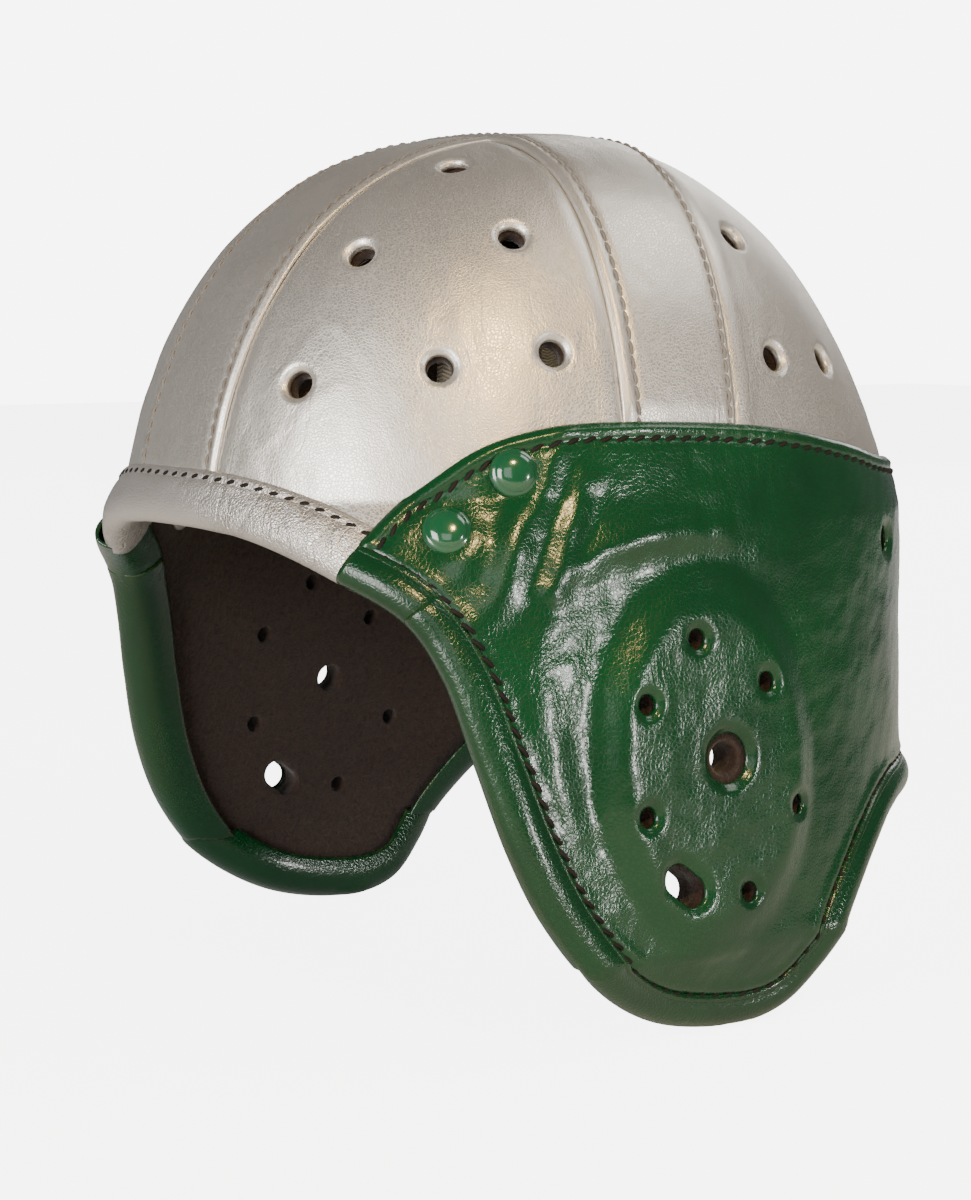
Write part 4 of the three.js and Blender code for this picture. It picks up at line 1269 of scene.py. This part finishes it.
def crown_felt_outer(base, flat):
    mirrored = np.abs(base) * [1, 0, 0] + base * [0, 1, 1]
    centres = [form_point(*turned(v)) for v in FRONT_VENTS + REAR_VENTS]
    return -2.5 - vent_sink(mirrored, centres, VENT_RADIUS, 1.1, VENT_REACH)


def crown_felt(name):
    angles = np.linspace(-math.pi, math.pi, 1400)
    outline = outline_of(to_crown(angles, crown_bottom(np.abs(angles))), step=2.0)
    holes = []
    for vent in FRONT_VENTS + REAR_VENTS:
        for sign in (1, -1):
            angle, level = turned(vent)
            holes.append(punched((sign * angle, level), to_crown, VENT_RADIUS - 0.5, 20))
    filled = net(outline, holes, step=2.4, edge_rows=(0.8,), hole_rows=(0.7, 1.6, 2.8))
    return sheet_piece(name, filled, from_crown, crown_felt_outer, felt_inner, bulge=0.2)


finish(crown_felt("crown_lining"), lining_felt, "felt_lining", "crown_felt")


def side_felt_outer(base, flat):
    return np.maximum(cup_height(base), 0) * 0.9 - 0.1 - 0.3 * np.minimum(hole_sink(base), 1.0)


felt_net = net(side_outline(LAP + 0.3, EDGE_START + 0.6, 0.2), side_holes(-0.4, 2.2), step=2.2,
               edge_rows=(0.8,), hole_rows=(0.6, 1.4, 2.4))
for side in ("left", "right"):
    piece = sheet_piece(f"side_lining_{side}", felt_net, from_wall, side_felt_outer, felt_inner, bulge=0.2,
                        mirror=side == "right")
    finish(piece, lining_felt, "felt_lining", f"side_felt_{side}", f"flap_felt_{side}", body=None)
    bends(piece)

# %% [markdown]
# ## Rolled bindings
# A binding is a strip of soft leather folded round the edge and sewn through. Its section
# is drawn once, as the outside of the roll, and thickened inwards. It is then carried
# along the edge with the surface's own directions, so it turns every corner squarely.

# %% Sweeping a section along the edge
HIDE = 1.15            # thickness of the binding leather
ROLL_MIDDLE = -1.5     # the height that a roll swells away from


def thick_section(outside, thickness=HIDE):
    """The roll's outside line and the same line moved in by the hide's thickness."""
    outside = np.array(outside, float)
    fine_line = smooth_line(outside, 3)
    along = np.gradient(fine_line, axis=0)
    along /= np.linalg.norm(along, axis=1)[:, None]
    return fine_line, fine_line + thickness * np.stack([along[:, 1], -along[:, 0]], -1)


def edge_frame(line):
    """Places, outward directions and inward-along-the-surface directions of an edge line."""
    place, facing = form_point(*from_wall(line)), form_normal(*from_wall(line))
    inward = form_point(*from_wall(inset(line, 0.5))) - place
    inward -= np.sum(inward * facing, axis=1)[:, None] * facing
    return place, facing, inward / np.linalg.norm(inward, axis=1)[:, None]


def on_edge(line, frame_here, inside, height):
    """Points this far inside the edge, at these heights above the form."""
    place, facing, inward = frame_here
    if np.max(inside) <= 0:
        return place + inside[:, None] * inward + height[:, None] * facing
    moved = inset(line, 1.0) - line
    flat = line + moved * np.maximum(inside, 0)[:, None]
    lifted = form_point(*from_wall(flat)) + height[:, None] * form_normal(*from_wall(flat))
    return lifted + np.minimum(inside, 0)[:, None] * inward


def binding(name, line, outside, seed, mirror=False, swell=None):
    """A folded strip along a line on the wall map."""
    outer, inner = thick_section(outside)
    around = np.vstack([outer, inner[::-1]])
    here = edge_frame(line)
    length = lengths_along(here[0])
    grow = np.ones(len(line)) if swell is None else swell(length, length[-1])
    rings = []
    for inside, height in around:
        tall = ROLL_MIDDLE + (height - ROLL_MIDDLE) * grow
        rings.append(on_edge(line, here, np.full(len(line), inside), tall))
    points = np.stack(rings, 1)
    is_outer = np.concatenate([np.ones(len(outer)), np.zeros(len(inner))])
    flat_list = points.reshape(-1, 3)
    wrinkle = 0.16 * ripple(flat_list, 7, seed) + 0.10 * ripple(flat_list, 3.2, seed + 1)
    lift = here[1][:, None, :] * (wrinkle.reshape(points.shape[:2]) * is_outer)[..., None]
    points = points + lift
    count, around_count = points.shape[:2]
    faces = []
    for i in range(count - 1):
        for k in range(around_count):
            j = (k + 1) % around_count
            faces.append((i * around_count + k, i * around_count + j,
                          (i + 1) * around_count + j, (i + 1) * around_count + k))
    half_count = len(outer)
    for i, flip in ((0, False), (count - 1, True)):
        for k in range(half_count - 1):
            a, b = i * around_count + k, i * around_count + k + 1
            c, d = i * around_count + around_count - 2 - k, i * around_count + around_count - 1 - k
            quad = (a, d, c, b)
            faces.append(quad[::-1] if flip else quad)
    points = points.reshape(-1, 3)
    if mirror:
        points, faces = points * [-1, 1, 1], [f[::-1] for f in faces]
    piece = make_object(name, points, faces)
    if signed_volume(piece) < 0:
        piece.data.flip_normals()
    return piece


def edge_stretch(first, last):
    """The part of the lower edge between two distances from the brow's middle."""
    return EDGE[int(first):int(last) + 1]


def edge_mark(y):
    """Distance along the edge, from the brow's middle, where it first reaches this y."""
    return int(np.argmax(EDGE_LINE[:, 1] > y))


# Each section is a list of distances in from the edge and heights above the form.
BROW_ROLL = [
    (12.9, -0.1), (12.5, 0.45), (11.7, 0.55), (10.9, 0.65), (9.8, 1.15), (7.6, 1.55), (5.0, 1.65), (2.8, 1.2),
    (1.1, 0.3), (0.2, -1.0), (0.0, -2.6), (0.5, -4.3), (1.7, -5.9), (3.6, -7.0), (6.5, -7.8), (11, -8.0)]
FLAP_ROLL = [
    (7.5, 1.9), (7.35, 2.35), (6.8, 2.4), (6.1, 2.7), (5.0, 3.3), (3.6, 3.6), (2.2, 3.45), (1.0, 2.75),
    (0.25, 1.6), (0.0, 0.2), (0.0, -1.4), (0.35, -3.0), (1.2, -4.7), (2.9, -6.2), (5.2, -7.2), (9.0, -7.8)]
CORNER_ROLL = [(b * 1.06, h if h < 0 else h * 1.04 + 0.1) for b, h in FLAP_ROLL]

OVERLAP_Y, TUCK_IN = -88.0, 4       # where the flap binding starts, and how far the others run under
brow_end, overlap, edge_end = edge_mark(BROW_END_Y), edge_mark(OVERLAP_Y), len(EDGE) - 1
print("brow binding ends", brow_end, "mm round; flap binding starts", overlap, "mm round; back at", edge_end)

# %% Make the bindings
half_brow = edge_stretch(0, brow_end + TUCK_IN)
brow_line = np.vstack([half_brow[:0:-1] * [-1, 1], half_brow])


def brow_grow(s, total):
    return 1 - 0.12 * (np.exp(-s / 3.0) + np.exp(-(total - s) / 3.0))


def corner_grow(s, total):
    return 1.0 + 0.10 * np.sin(math.pi * s / total) - 0.16 * smooth_step(s, total - 5, total)


def flap_grow(s, total):
    return 1.0 + 0.12 * (1 - smooth_step(s, 0.5, 9)) - 0.05 * np.exp(-s / 1.5)


finish(binding("brow_roll", brow_line, BROW_ROLL, 71, swell=brow_grow), silver_roll, "silver_leather",
       "brow_binding")
for side in ("left", "right"):
    mirror = side == "right"
    corner_edge = edge_stretch(brow_end, overlap + TUCK_IN)
    corner = binding(f"corner_roll_{side}", corner_edge, CORNER_ROLL, 81, mirror, corner_grow)
    finish(corner, green_roll, "green_leather", f"corner_binding_{side}")
    roll = binding(f"flap_roll_{side}", edge_stretch(overlap, edge_end), FLAP_ROLL, 91, mirror, flap_grow)
    nodes = [f"flap_binding_{side}"] + (["nape_binding"] if side == "left" else [])
    finish(roll, green_roll, "green_leather", *nodes, body=None)
    bends(roll)

# %% [markdown]
# ## Strip over the back seam
# The two side leathers meet at the middle of the back. A narrow strip with folded edges
# covers the join and is sewn down both sides.

# %% Back seam strip
BACK_STRIP_FACE, BACK_STRIP_UNDERSIDE, BACK_STITCH_IN = 3.7, 1.6, 2.4


def back_strip(name):
    half = BACK_SEAM_WIDTH / 2
    low = EDGE_INSIDE[-1, 1]
    high = SEAM[-1, 1] - 0.6
    turn = half / (BACK_REACH - 2)
    sides = np.array([math.pi - turn, math.pi + turn]) * WALL_RADIUS
    corners = [(sides[0], low), (sides[1], low), (sides[1], high), (sides[0], high)]
    curves = [np.linspace(a, b, 40) for a, b in zip(corners, corners[1:] + corners[:1])]
    outline = outline_of(*curves, lift=from_wall)
    rows = [np.linspace((x + d, low), (x + d, high), 90)
            for x in (sides[0] + BACK_STITCH_IN, sides[1] - BACK_STITCH_IN) for d in (-0.5, 0, 0.5)]

    def outer(base, flat):
        inside = half - np.abs(base[:, 0])
        fall = 0.5 * (1 - smooth_step(inside, 0.0, 1.1))
        channel = 0.35 * np.exp(-((inside - BACK_STITCH_IN) / 0.7) ** 2)
        from_low = base[:, 2] - low
        fall += 0.9 * (1 - smooth_step(from_low, 4, 9))
        return BACK_STRIP_FACE - fall - channel + 0.06 * ripple(base, 9, 65)

    def inner(base, flat):
        return np.full(len(base), BACK_STRIP_UNDERSIDE)
    return sheet_piece(name, net(outline, rows=rows, step=1.2), from_wall, outer, inner, bulge=0.3)


finish(back_strip("back_seam_hide"), green, "green_leather", "back_seam_strip")

# %% [markdown]
# ## Rivets and washers
# Each rivet is a pressed cap, dipped in green enamel, on a steel post. The cap has a low
# outer rim and a higher middle. Both are turned round the post from a drawn profile.

# %% Turned pieces
CAP_PROFILE = [
    (0, 3.15), (1.6, 3.08), (3.1, 2.84), (4.2, 2.42), (4.9, 1.92), (5.15, 1.60), (5.45, 1.45), (5.9, 1.15),
    (6.25, 0.65), (6.3, 0.25), (6.1, 0.0), (5.5, -0.1), (1.8, -0.1), (1.8, -12.6), (1.3, -13.2), (0, -13.3)]
WASHER_PROFILE = [(2.1, -0.2), (2.5, 0.0), (4.4, 0.0), (4.85, -0.2), (5.0, -0.6), (4.85, -1.0), (4.4, -1.2),
                  (2.5, -1.2), (2.1, -1.0)]
CAP_SEAT, WASHER_DEPTH = 1.75, -10.6


def turned_piece(name, outline, place, height, mirror, sides=56, closed=False):
    """A profile of radius and height turned round the surface's outward direction."""
    centre, axis = form_point(*place), form_normal(*place)
    first = np.cross(axis, [0, 0, 1])
    first /= np.linalg.norm(first)
    second = np.cross(axis, first)
    points, rows = [], []
    for radius, rise in outline:
        count = 1 if radius == 0 else sides
        rows.append(list(range(len(points), len(points) + count)))
        for k in range(count):
            turn = 2 * math.pi * k / sides
            spoke = first * math.cos(turn) + second * math.sin(turn)
            points.append(centre + axis * (height + rise) + spoke * radius)
    faces = []
    pairs = list(zip(rows, rows[1:])) + ([(rows[-1], rows[0])] if closed else [])
    for above, below in pairs:
        for k in range(sides):
            j = (k + 1) % sides
            quad = [row[i % len(row)] for row, i in ((above, k), (above, j), (below, j), (below, k))]
            faces.append(tuple(dict.fromkeys(quad)))
    points = np.array(points) * ([-1, 1, 1] if mirror else [1, 1, 1])
    piece = make_object(name, points, faces)
    if signed_volume(piece) < 0:
        piece.data.flip_normals()
    return piece


# %% Make rivets and washers
for level, place in RIVETS.items():
    for side in ("left", "right"):
        cap = turned_piece(f"rivet_cap_{level}_{side}", CAP_PROFILE, turned(place), CAP_SEAT, side == "right")
        finish(cap, rivet_enamel, "enamel_rivet", f"rivet_{level}_{side}")
        washer = turned_piece(f"washer_{level}_{side}", WASHER_PROFILE, turned(place), WASHER_DEPTH,
                              side == "right", closed=True)
        finish(washer, washer_steel, "rivet_washer", f"rivet_back_{level}_{side}")

# %% [markdown]
# ## Webbing
# Two cotton straps cross under the crown and hold it off the head. Flat webbing is
# modelled directly: a grid carried over a slacker copy of the form, thickened, with
# selvedges a little thinner than the middle and a weave on its own UV map.

# %% Webbing straps
WEBBING_WIDTH, WEBBING_THICK, WEBBING_DROP, WEBBING_END_Z = 26.0, 1.4, 12.0, -4.0
STRAP_OFFSET = -7.1
STRAP_TURN = math.radians((RIVETS["upper"][0] + RIVETS["lower"][0]) / 2)


def on_slack_form(origin, direction, offset, drop):
    """Where rays from inside meet a slack copy of the form, by bisection."""
    low, high = np.zeros(direction.shape[:-1]), np.full(direction.shape[:-1], 170.0)
    top = CROWN_TOP_Z + offset - drop
    for _ in range(40):
        middle = (low + high) / 2
        points = origin + direction * middle[..., None]
        angle = np.arctan2(points[..., 0], -points[..., 1])
        skin = form_point(angle, np.minimum(points[..., 2], top - 1e-6), offset, drop)
        inside = (np.hypot(points[..., 0], points[..., 1]) < np.hypot(skin[..., 0], skin[..., 1]))
        inside &= points[..., 2] < top
        low, high = np.where(inside, middle, low), np.where(inside, high, middle)
    return origin + direction * low[..., None]


def strap(name, side, lowered, node):
    turn = side * STRAP_TURN
    lengthwise = np.array([math.sin(turn), -math.cos(turn), 0])
    crosswise = np.array([math.cos(turn), math.sin(turn), 0])
    across_steps, along_steps = 21, 240
    reach = WEBBING_END_Z / 92.0
    sweep = np.linspace(reach, math.pi - reach, along_steps)
    share = np.linspace(-1, 1, across_steps)
    direction = np.cos(sweep)[:, None] * lengthwise + np.sin(sweep)[:, None] * np.array([0, 0, 1])
    direction = np.repeat(direction[:, None, :], across_steps, 1)
    origin = share[None, :, None] * crosswise * WEBBING_WIDTH / 2 + 0 * direction
    skins = []
    for depth in (0.0, -WEBBING_THICK):
        skins.append(on_slack_form(origin, direction, STRAP_OFFSET + depth, WEBBING_DROP + lowered))
    middle = (skins[0] + skins[1]) / 2
    selvedge = (1 - 0.45 * smooth_step(np.abs(share), 0.86, 1.0))[None, :, None]
    upper, lower = middle + (skins[0] - middle) * selvedge, middle + (skins[1] - middle) * selvedge
    points = np.concatenate([upper.reshape(-1, 3), lower.reshape(-1, 3)])
    faces = []
    count = across_steps * along_steps
    at = lambda i, k: i * across_steps + k
    for i in range(along_steps - 1):
        for k in range(across_steps - 1):
            quad = (at(i, k), at(i, k + 1), at(i + 1, k + 1), at(i + 1, k))
            faces += [quad, tuple(count + v for v in quad[::-1])]
    border = [at(0, k) for k in range(across_steps)]
    border += [at(i, across_steps - 1) for i in range(1, along_steps)]
    border += [at(along_steps - 1, k) for k in range(across_steps - 2, -1, -1)]
    border += [at(i, 0) for i in range(along_steps - 2, 0, -1)]
    for a, b in zip(border, border[1:] + border[:1]):
        faces.append((b, a, count + a, count + b))
    piece = make_object(name, points, faces)
    if signed_volume(piece) < 0:
        piece.data.flip_normals()
    lay = piece.data.uv_layers.new(name="weave")
    length = lengths_along(middle[:, across_steps // 2])
    flat = np.stack(np.broadcast_arrays(share * WEBBING_WIDTH / 2, length[:, None]), -1).reshape(-1, 2)
    flat = np.concatenate([flat, flat]) * MM
    corners = np.zeros(len(piece.data.loops), int)
    piece.data.loops.foreach_get("vertex_index", corners)
    lay.data.foreach_set("uv", flat[corners].ravel())
    finish(piece, strap_cotton, "cotton_webbing", node)


strap("strap_upper", 1, 0.0, "webbing_strap_a")
strap("strap_lower", -1, WEBBING_THICK + 2.0, "webbing_strap_b")

# %% [markdown]
# ## Sweatband
# A padded leather band rests on the forehead. A padded piece swells under its stuffing, so
# it is simulated as cloth with pressure inside, from a slimmer copy of itself, and its
# sewn channels are pressed in afterwards.

# %% Swell the sweatband
BAND_OUTER, BAND_THICK, BAND_LEVELS, BAND_HALF_TURN = -8.7, 4.0, (6.0, 38.0), math.radians(34)
BAND_VOXEL, SWELL_LIMIT, CHANNELS = 1.5, 0.9, (16.5, 27.5)
BAND_SLIMMING = 0.62   # how far each face starts inside the space


def slim_band(name):
    """The band before it swells: about a third thinner than its space."""
    corners = [(-BAND_HALF_TURN, BAND_LEVELS[0]), (BAND_HALF_TURN, BAND_LEVELS[0]),
               (BAND_HALF_TURN, BAND_LEVELS[1]), (-BAND_HALF_TURN, BAND_LEVELS[1])]
    corners = [tuple(to_wall(*c)) for c in corners]
    curves = [np.linspace(a, b, 60) for a, b in zip(corners, corners[1:] + corners[:1])]
    filled = net(outline_of(*curves, lift=from_wall), step=1.8, edge_rows=(0.8,))

    def outer(base, flat):
        return np.full(len(base), BAND_OUTER - BAND_SLIMMING)

    def inner(base, flat):
        return np.full(len(base), BAND_OUTER - BAND_THICK + BAND_SLIMMING)
    return sheet_piece(name, filled, from_wall, outer, inner, bulge=0.9, steps=3)


def swollen(piece):
    """Cloth with pressure inside and no gravity, applied to the mesh, with its movement capped."""
    remesh = piece.modifiers.new("even net", "REMESH")
    remesh.mode, remesh.voxel_size, remesh.use_smooth_shade = "VOXEL", BAND_VOXEL * MM, True
    bpy.context.view_layer.objects.active = piece
    bpy.ops.object.modifier_apply(modifier=remesh.name)
    before = np.array([v.co for v in piece.data.vertices])
    cloth = piece.modifiers.new("stuffing", "CLOTH")
    cloth.settings.use_pressure = True
    cloth.settings.uniform_pressure_force = 4.0
    cloth.settings.effector_weights.gravity = 0.0
    cloth.settings.quality = 4
    scene = bpy.context.scene
    for frame_number in range(1, 13):
        scene.frame_set(frame_number)
    evaluated = piece.evaluated_get(bpy.context.evaluated_depsgraph_get())
    after = np.array([v.co for v in evaluated.data.vertices])
    piece.modifiers.remove(cloth)
    scene.frame_set(1)
    move = after - before
    length = np.linalg.norm(move, axis=1)
    move *= np.minimum(1, SWELL_LIMIT * MM / np.maximum(length, 1e-9))[:, None]
    piece.data.vertices.foreach_set("co", (before + move).ravel())
    print("sweatband swelled by up to", round(float(length.max() / MM), 2), "mm before the cap")


def press_channels(piece):
    """Presses two sewn channels into the band's inner face."""
    places = np.array([v.co for v in piece.data.vertices]) / MM
    angle = np.arctan2(places[:, 0], -places[:, 1])
    skin = form_point(angle, places[:, 2])
    depth = np.hypot(places[:, 0], places[:, 1]) - np.hypot(skin[:, 0], skin[:, 1])
    inner_share = smooth_step(-depth, -BAND_OUTER + 1.2, -BAND_OUTER + 3.4)
    channel = sum(np.exp(-((places[:, 2] - level) / 1.1) ** 2) for level in CHANNELS)
    outward = form_normal(angle, places[:, 2])
    places += outward * (0.9 * channel * inner_share)[:, None]
    piece.data.vertices.foreach_set("co", (places * MM).ravel())
    piece.data.update()


band = slim_band("forehead_band")
swollen(band)
press_channels(band)
finish(band, band_hide, "sweatband_leather", "sweatband")

# %% [markdown]
# ## Stitches
# The seams are sewn with waxed thread. One Geometry Nodes tree lays a short arched stitch
# at every pitch along a seam, turned to follow the seam and the surface. Its pitch, length,
# thickness and depth are inputs, so each seam sets its own.

# %% Stitch tree
def stitch_tree():
    tree = bpy.data.node_groups.new("sewn_row", "GeometryNodeTree")
    face = tree.interface
    face.new_socket("Seam", in_out="INPUT", socket_type="NodeSocketGeometry")
    sizes = {}
    for title, default in (("Pitch", 0.0048), ("Length", 0.0037), ("Thickness", 0.0009), ("Arch", 0.0005),
                           ("Sink", 0.0004), ("Slant", 0.10)):
        socket = face.new_socket(title, in_out="INPUT", socket_type="NodeSocketFloat")
        socket.default_value = default
        sizes[title] = socket.identifier
    socket = face.new_socket("Thread", in_out="INPUT", socket_type="NodeSocketMaterial")
    sizes["Thread"] = socket.identifier
    face.new_socket("Stitches", in_out="OUTPUT", socket_type="NodeSocketGeometry")
    start, end = tree.nodes.new("NodeGroupInput"), tree.nodes.new("NodeGroupOutput")
    curve = tree.nodes.new("GeometryNodeMeshToCurve")
    points = add(tree, "GeometryNodeCurveToPoints", mode="LENGTH")
    facing = add(tree, "GeometryNodeInputNamedAttribute", data_type="FLOAT_VECTOR")
    facing.inputs["Name"].default_value = "facing"
    to_surface = add(tree, "FunctionNodeAlignRotationToVector", axis="Z")
    to_seam = add(tree, "FunctionNodeAlignRotationToVector", axis="X", pivot_axis="Z")
    slant = add(tree, "FunctionNodeRotateRotation", rotation_space="LOCAL")
    spin = tree.nodes.new("ShaderNodeCombineXYZ")
    turn = tree.nodes.new("FunctionNodeEulerToRotation")
    bow = add(tree, "GeometryNodeCurveQuadraticBezier", {"Resolution": 6})
    ends = []
    for sign in (-0.5, 0.5):
        corner = tree.nodes.new("ShaderNodeCombineXYZ")
        tree.links.new(calculate(tree, "MULTIPLY", start.outputs["Length"], sign), corner.inputs[0])
        tree.links.new(calculate(tree, "MULTIPLY", start.outputs["Sink"], -1.0), corner.inputs[2])
        ends.append(corner)
    peak = tree.nodes.new("ShaderNodeCombineXYZ")
    tree.links.new(calculate(tree, "MULTIPLY", start.outputs["Arch"], 2.0), peak.inputs[2])
    circle = add(tree, "GeometryNodeCurvePrimitiveCircle", {"Resolution": 7})
    tube = tree.nodes.new("GeometryNodeCurveToMesh")
    tube.inputs["Fill Caps"].default_value = True
    copies = tree.nodes.new("GeometryNodeInstanceOnPoints")
    real = tree.nodes.new("GeometryNodeRealizeInstances")
    smooth = tree.nodes.new("GeometryNodeSetShadeSmooth")
    paint = tree.nodes.new("GeometryNodeSetMaterial")
    join(tree, (start.outputs["Seam"], curve.inputs["Mesh"]), (curve.outputs[0], points.inputs["Curve"]),
         (start.outputs["Pitch"], points.inputs["Length"]),
         (facing.outputs["Attribute"], to_surface.inputs["Vector"]),
         (to_surface.outputs[0], to_seam.inputs["Rotation"]),
         (points.outputs["Tangent"], to_seam.inputs["Vector"]),
         (start.outputs["Slant"], spin.inputs[2]), (spin.outputs[0], turn.inputs[0]),
         (to_seam.outputs[0], slant.inputs["Rotation"]), (turn.outputs[0], slant.inputs["Rotate By"]),
         (ends[0].outputs[0], bow.inputs["Start"]), (peak.outputs[0], bow.inputs["Middle"]),
         (ends[1].outputs[0], bow.inputs["End"]),
         (calculate(tree, "MULTIPLY", start.outputs["Thickness"], 0.5), circle.inputs["Radius"]),
         (bow.outputs[0], tube.inputs["Curve"]), (circle.outputs[0], tube.inputs["Profile Curve"]),
         (points.outputs["Points"], copies.inputs["Points"]), (tube.outputs[0], copies.inputs["Instance"]),
         (slant.outputs[0], copies.inputs["Rotation"]), (copies.outputs[0], real.inputs[0]),
         (real.outputs[0], smooth.inputs[0]), (smooth.outputs[0], paint.inputs["Geometry"]),
         (start.outputs["Thread"], paint.inputs["Material"]), (paint.outputs[0], end.inputs[0]))
    return tree, sizes


sewn_row, ROW_SIZES = stitch_tree()
print("stitch inputs:", ROW_SIZES)


# %% Laying rows
def seam_points(flat, lift, height):
    """A seam on a map as points above the form, with the surface's directions."""
    base, facing = form_point(*lift(flat)), form_normal(*lift(flat))
    return base + facing * (height(base, flat)[:, None] if callable(height) else height), facing


def stitches(name, seams, thread_material, slot_name, mirror=False, **sizes):
    """Sews rows of stitches. Each seam is its points in millimetres and its outward directions."""
    mesh = bpy.data.meshes.new(name)
    points, facings, edges = [], [], []
    for place, facing in seams:
        edges += [(len(points) + k, len(points) + k + 1) for k in range(len(place) - 1)]
        points += list(place * ([-1, 1, 1] if mirror else [1, 1, 1]))
        facings += list(facing * ([-1, 1, 1] if mirror else [1, 1, 1]))
    mesh.from_pydata((np.array(points) * MM).tolist(), edges, [])
    attribute = mesh.attributes.new("facing", "FLOAT_VECTOR", "POINT")
    attribute.data.foreach_set("vector", np.array(facings).ravel())
    line = bpy.data.objects.new(name + "_line", mesh)
    bpy.context.scene.collection.objects.link(line)
    row = line.modifiers.new("sewn", "NODES")
    row.node_group = sewn_row
    row[ROW_SIZES["Thread"]] = thread_material
    for title, value in sizes.items():
        row[ROW_SIZES[title]] = value
    evaluated = line.evaluated_get(bpy.context.evaluated_depsgraph_get())
    sewn = bpy.data.meshes.new_from_object(evaluated)
    sewn.name = name
    bpy.data.objects.remove(line)
    bpy.data.meshes.remove(mesh)
    piece = bpy.data.objects.new(name, sewn)
    bpy.context.scene.collection.objects.link(piece)
    if not sewn.materials:
        sewn.materials.append(thread_material)
    print(f"{name}: {len(sewn.polygons)} faces")
    return piece


# %% Crown stitches
def strip_seam(flat, outer):
    line = respaced(flat, 1.0, from_crown)
    return seam_points(line, from_crown, lambda base, here: outer(base) + 0.28)


def top_height(base):
    inside = top_strip_half(base[:, 2]) - np.abs(base[:, 0])
    return strip_outer(base, inside, inside - TOP_STITCH_IN, 31)


def cross_height(base):
    front_in = base[:, 1] - cross_strip_side(base[:, 2], -1)
    rear_in = cross_strip_side(base[:, 2], 1) - base[:, 1]
    stitched = np.minimum(np.abs(front_in - CROSS_STITCH_IN[-1]), np.abs(rear_in - CROSS_STITCH_IN[1]))
    rise = smooth_step(base[:, 2] - seam_level(np.arctan2(base[:, 0], -base[:, 1])), 0, 30)
    return strip_outer(base, np.minimum(front_in, rear_in), stitched, 41) + 0.35 * rise


crown_seams = []
for line in (front_stitches, rear_stitches):
    crown_seams += [strip_seam(line, top_height), strip_seam(line * [-1, 1], top_height)]
for line in cross_stitches.values():
    crown_seams.append(strip_seam(np.vstack([line[:-1], (line * [-1, 1])[::-1]]), cross_height))
crown_rows = stitches("crown_stitches", crown_seams, silver_thread, "silver_leather",
                      Pitch=0.0040, Length=0.0032, Thickness=0.0009, Arch=0.0004)
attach(crown_rows, "root")

# %% Brow stitches
BROW_STITCH_IN = 11.9
brow_stitch_line = inset(brow_line, BROW_STITCH_IN)
brow_rows = stitches("brow_stitches", [seam_points(brow_stitch_line, from_wall, 1.0)], dark_thread,
                     "silver_leather", Pitch=0.0047, Length=0.0041, Thickness=0.0013, Arch=0.0006, Slant=0.3)
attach(brow_rows, "root")

# %% Green stitches
seam_start = int(np.argmax(SEAM[:, 1] > edge_level(SEAM[:, 0] / WALL_RADIUS) + 6))
top_line = inset(SEAM, -SEAM_STITCH_IN)[seam_start:-2]
edge_line = inset(EDGE, EDGE_STITCH_IN)[edge_mark(BROW_END_Y) + 6:]
corner_line = np.linspace(top_line[0], edge_line[0], 12)
INSIDE_ROW_IN, INSIDE_ROW_HEIGHT = 8.6, -7.9
inner_line = inset(EDGE, INSIDE_ROW_IN)[edge_mark(BROW_END_Y) + 6:]
back_turn = WALL_RADIUS * (math.pi - (BACK_SEAM_WIDTH / 2 - BACK_STITCH_IN) / (BACK_REACH - 2))
back_line = np.linspace((back_turn, EDGE_INSIDE[-1, 1] + 9), (back_turn, SEAM[-1, 1] - 2), 80)


def sewn_height(lift):
    """Thread lies this far above the side leather."""
    return lambda base, flat: side_outer(base, flat) + lift


for side in ("left", "right"):
    mirror = side == "right"
    rows = stitches(f"side_stitches_{side}", [
        seam_points(respaced(line, 1.0), from_wall, sewn_height(lift))
        for line, lift in ((top_line, 0.12), (corner_line, 0.12), (edge_line, 0.25))],
        dark_thread, "green_leather", mirror, Pitch=0.0047, Length=0.0036, Thickness=0.0011,
        Arch=0.00045, Slant=0.35)
    bends(rows)
    place, facing = seam_points(respaced(inner_line, 1.0), from_wall, INSIDE_ROW_HEIGHT)
    inside_rows = stitches(f"inside_stitches_{side}", [(place, -facing)], dark_thread, "green_leather",
                           mirror, Pitch=0.0047, Length=0.0036, Thickness=0.0009, Arch=0.0004, Slant=0.2)
    bends(inside_rows)
    back_rows = stitches(f"back_stitches_{side}", [seam_points(back_line, from_wall, 3.45)], dark_thread,
                         "green_leather", mirror, Pitch=0.0047, Length=0.0036, Thickness=0.0009, Arch=0.0004)
    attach(back_rows, "root")

# %% Finish
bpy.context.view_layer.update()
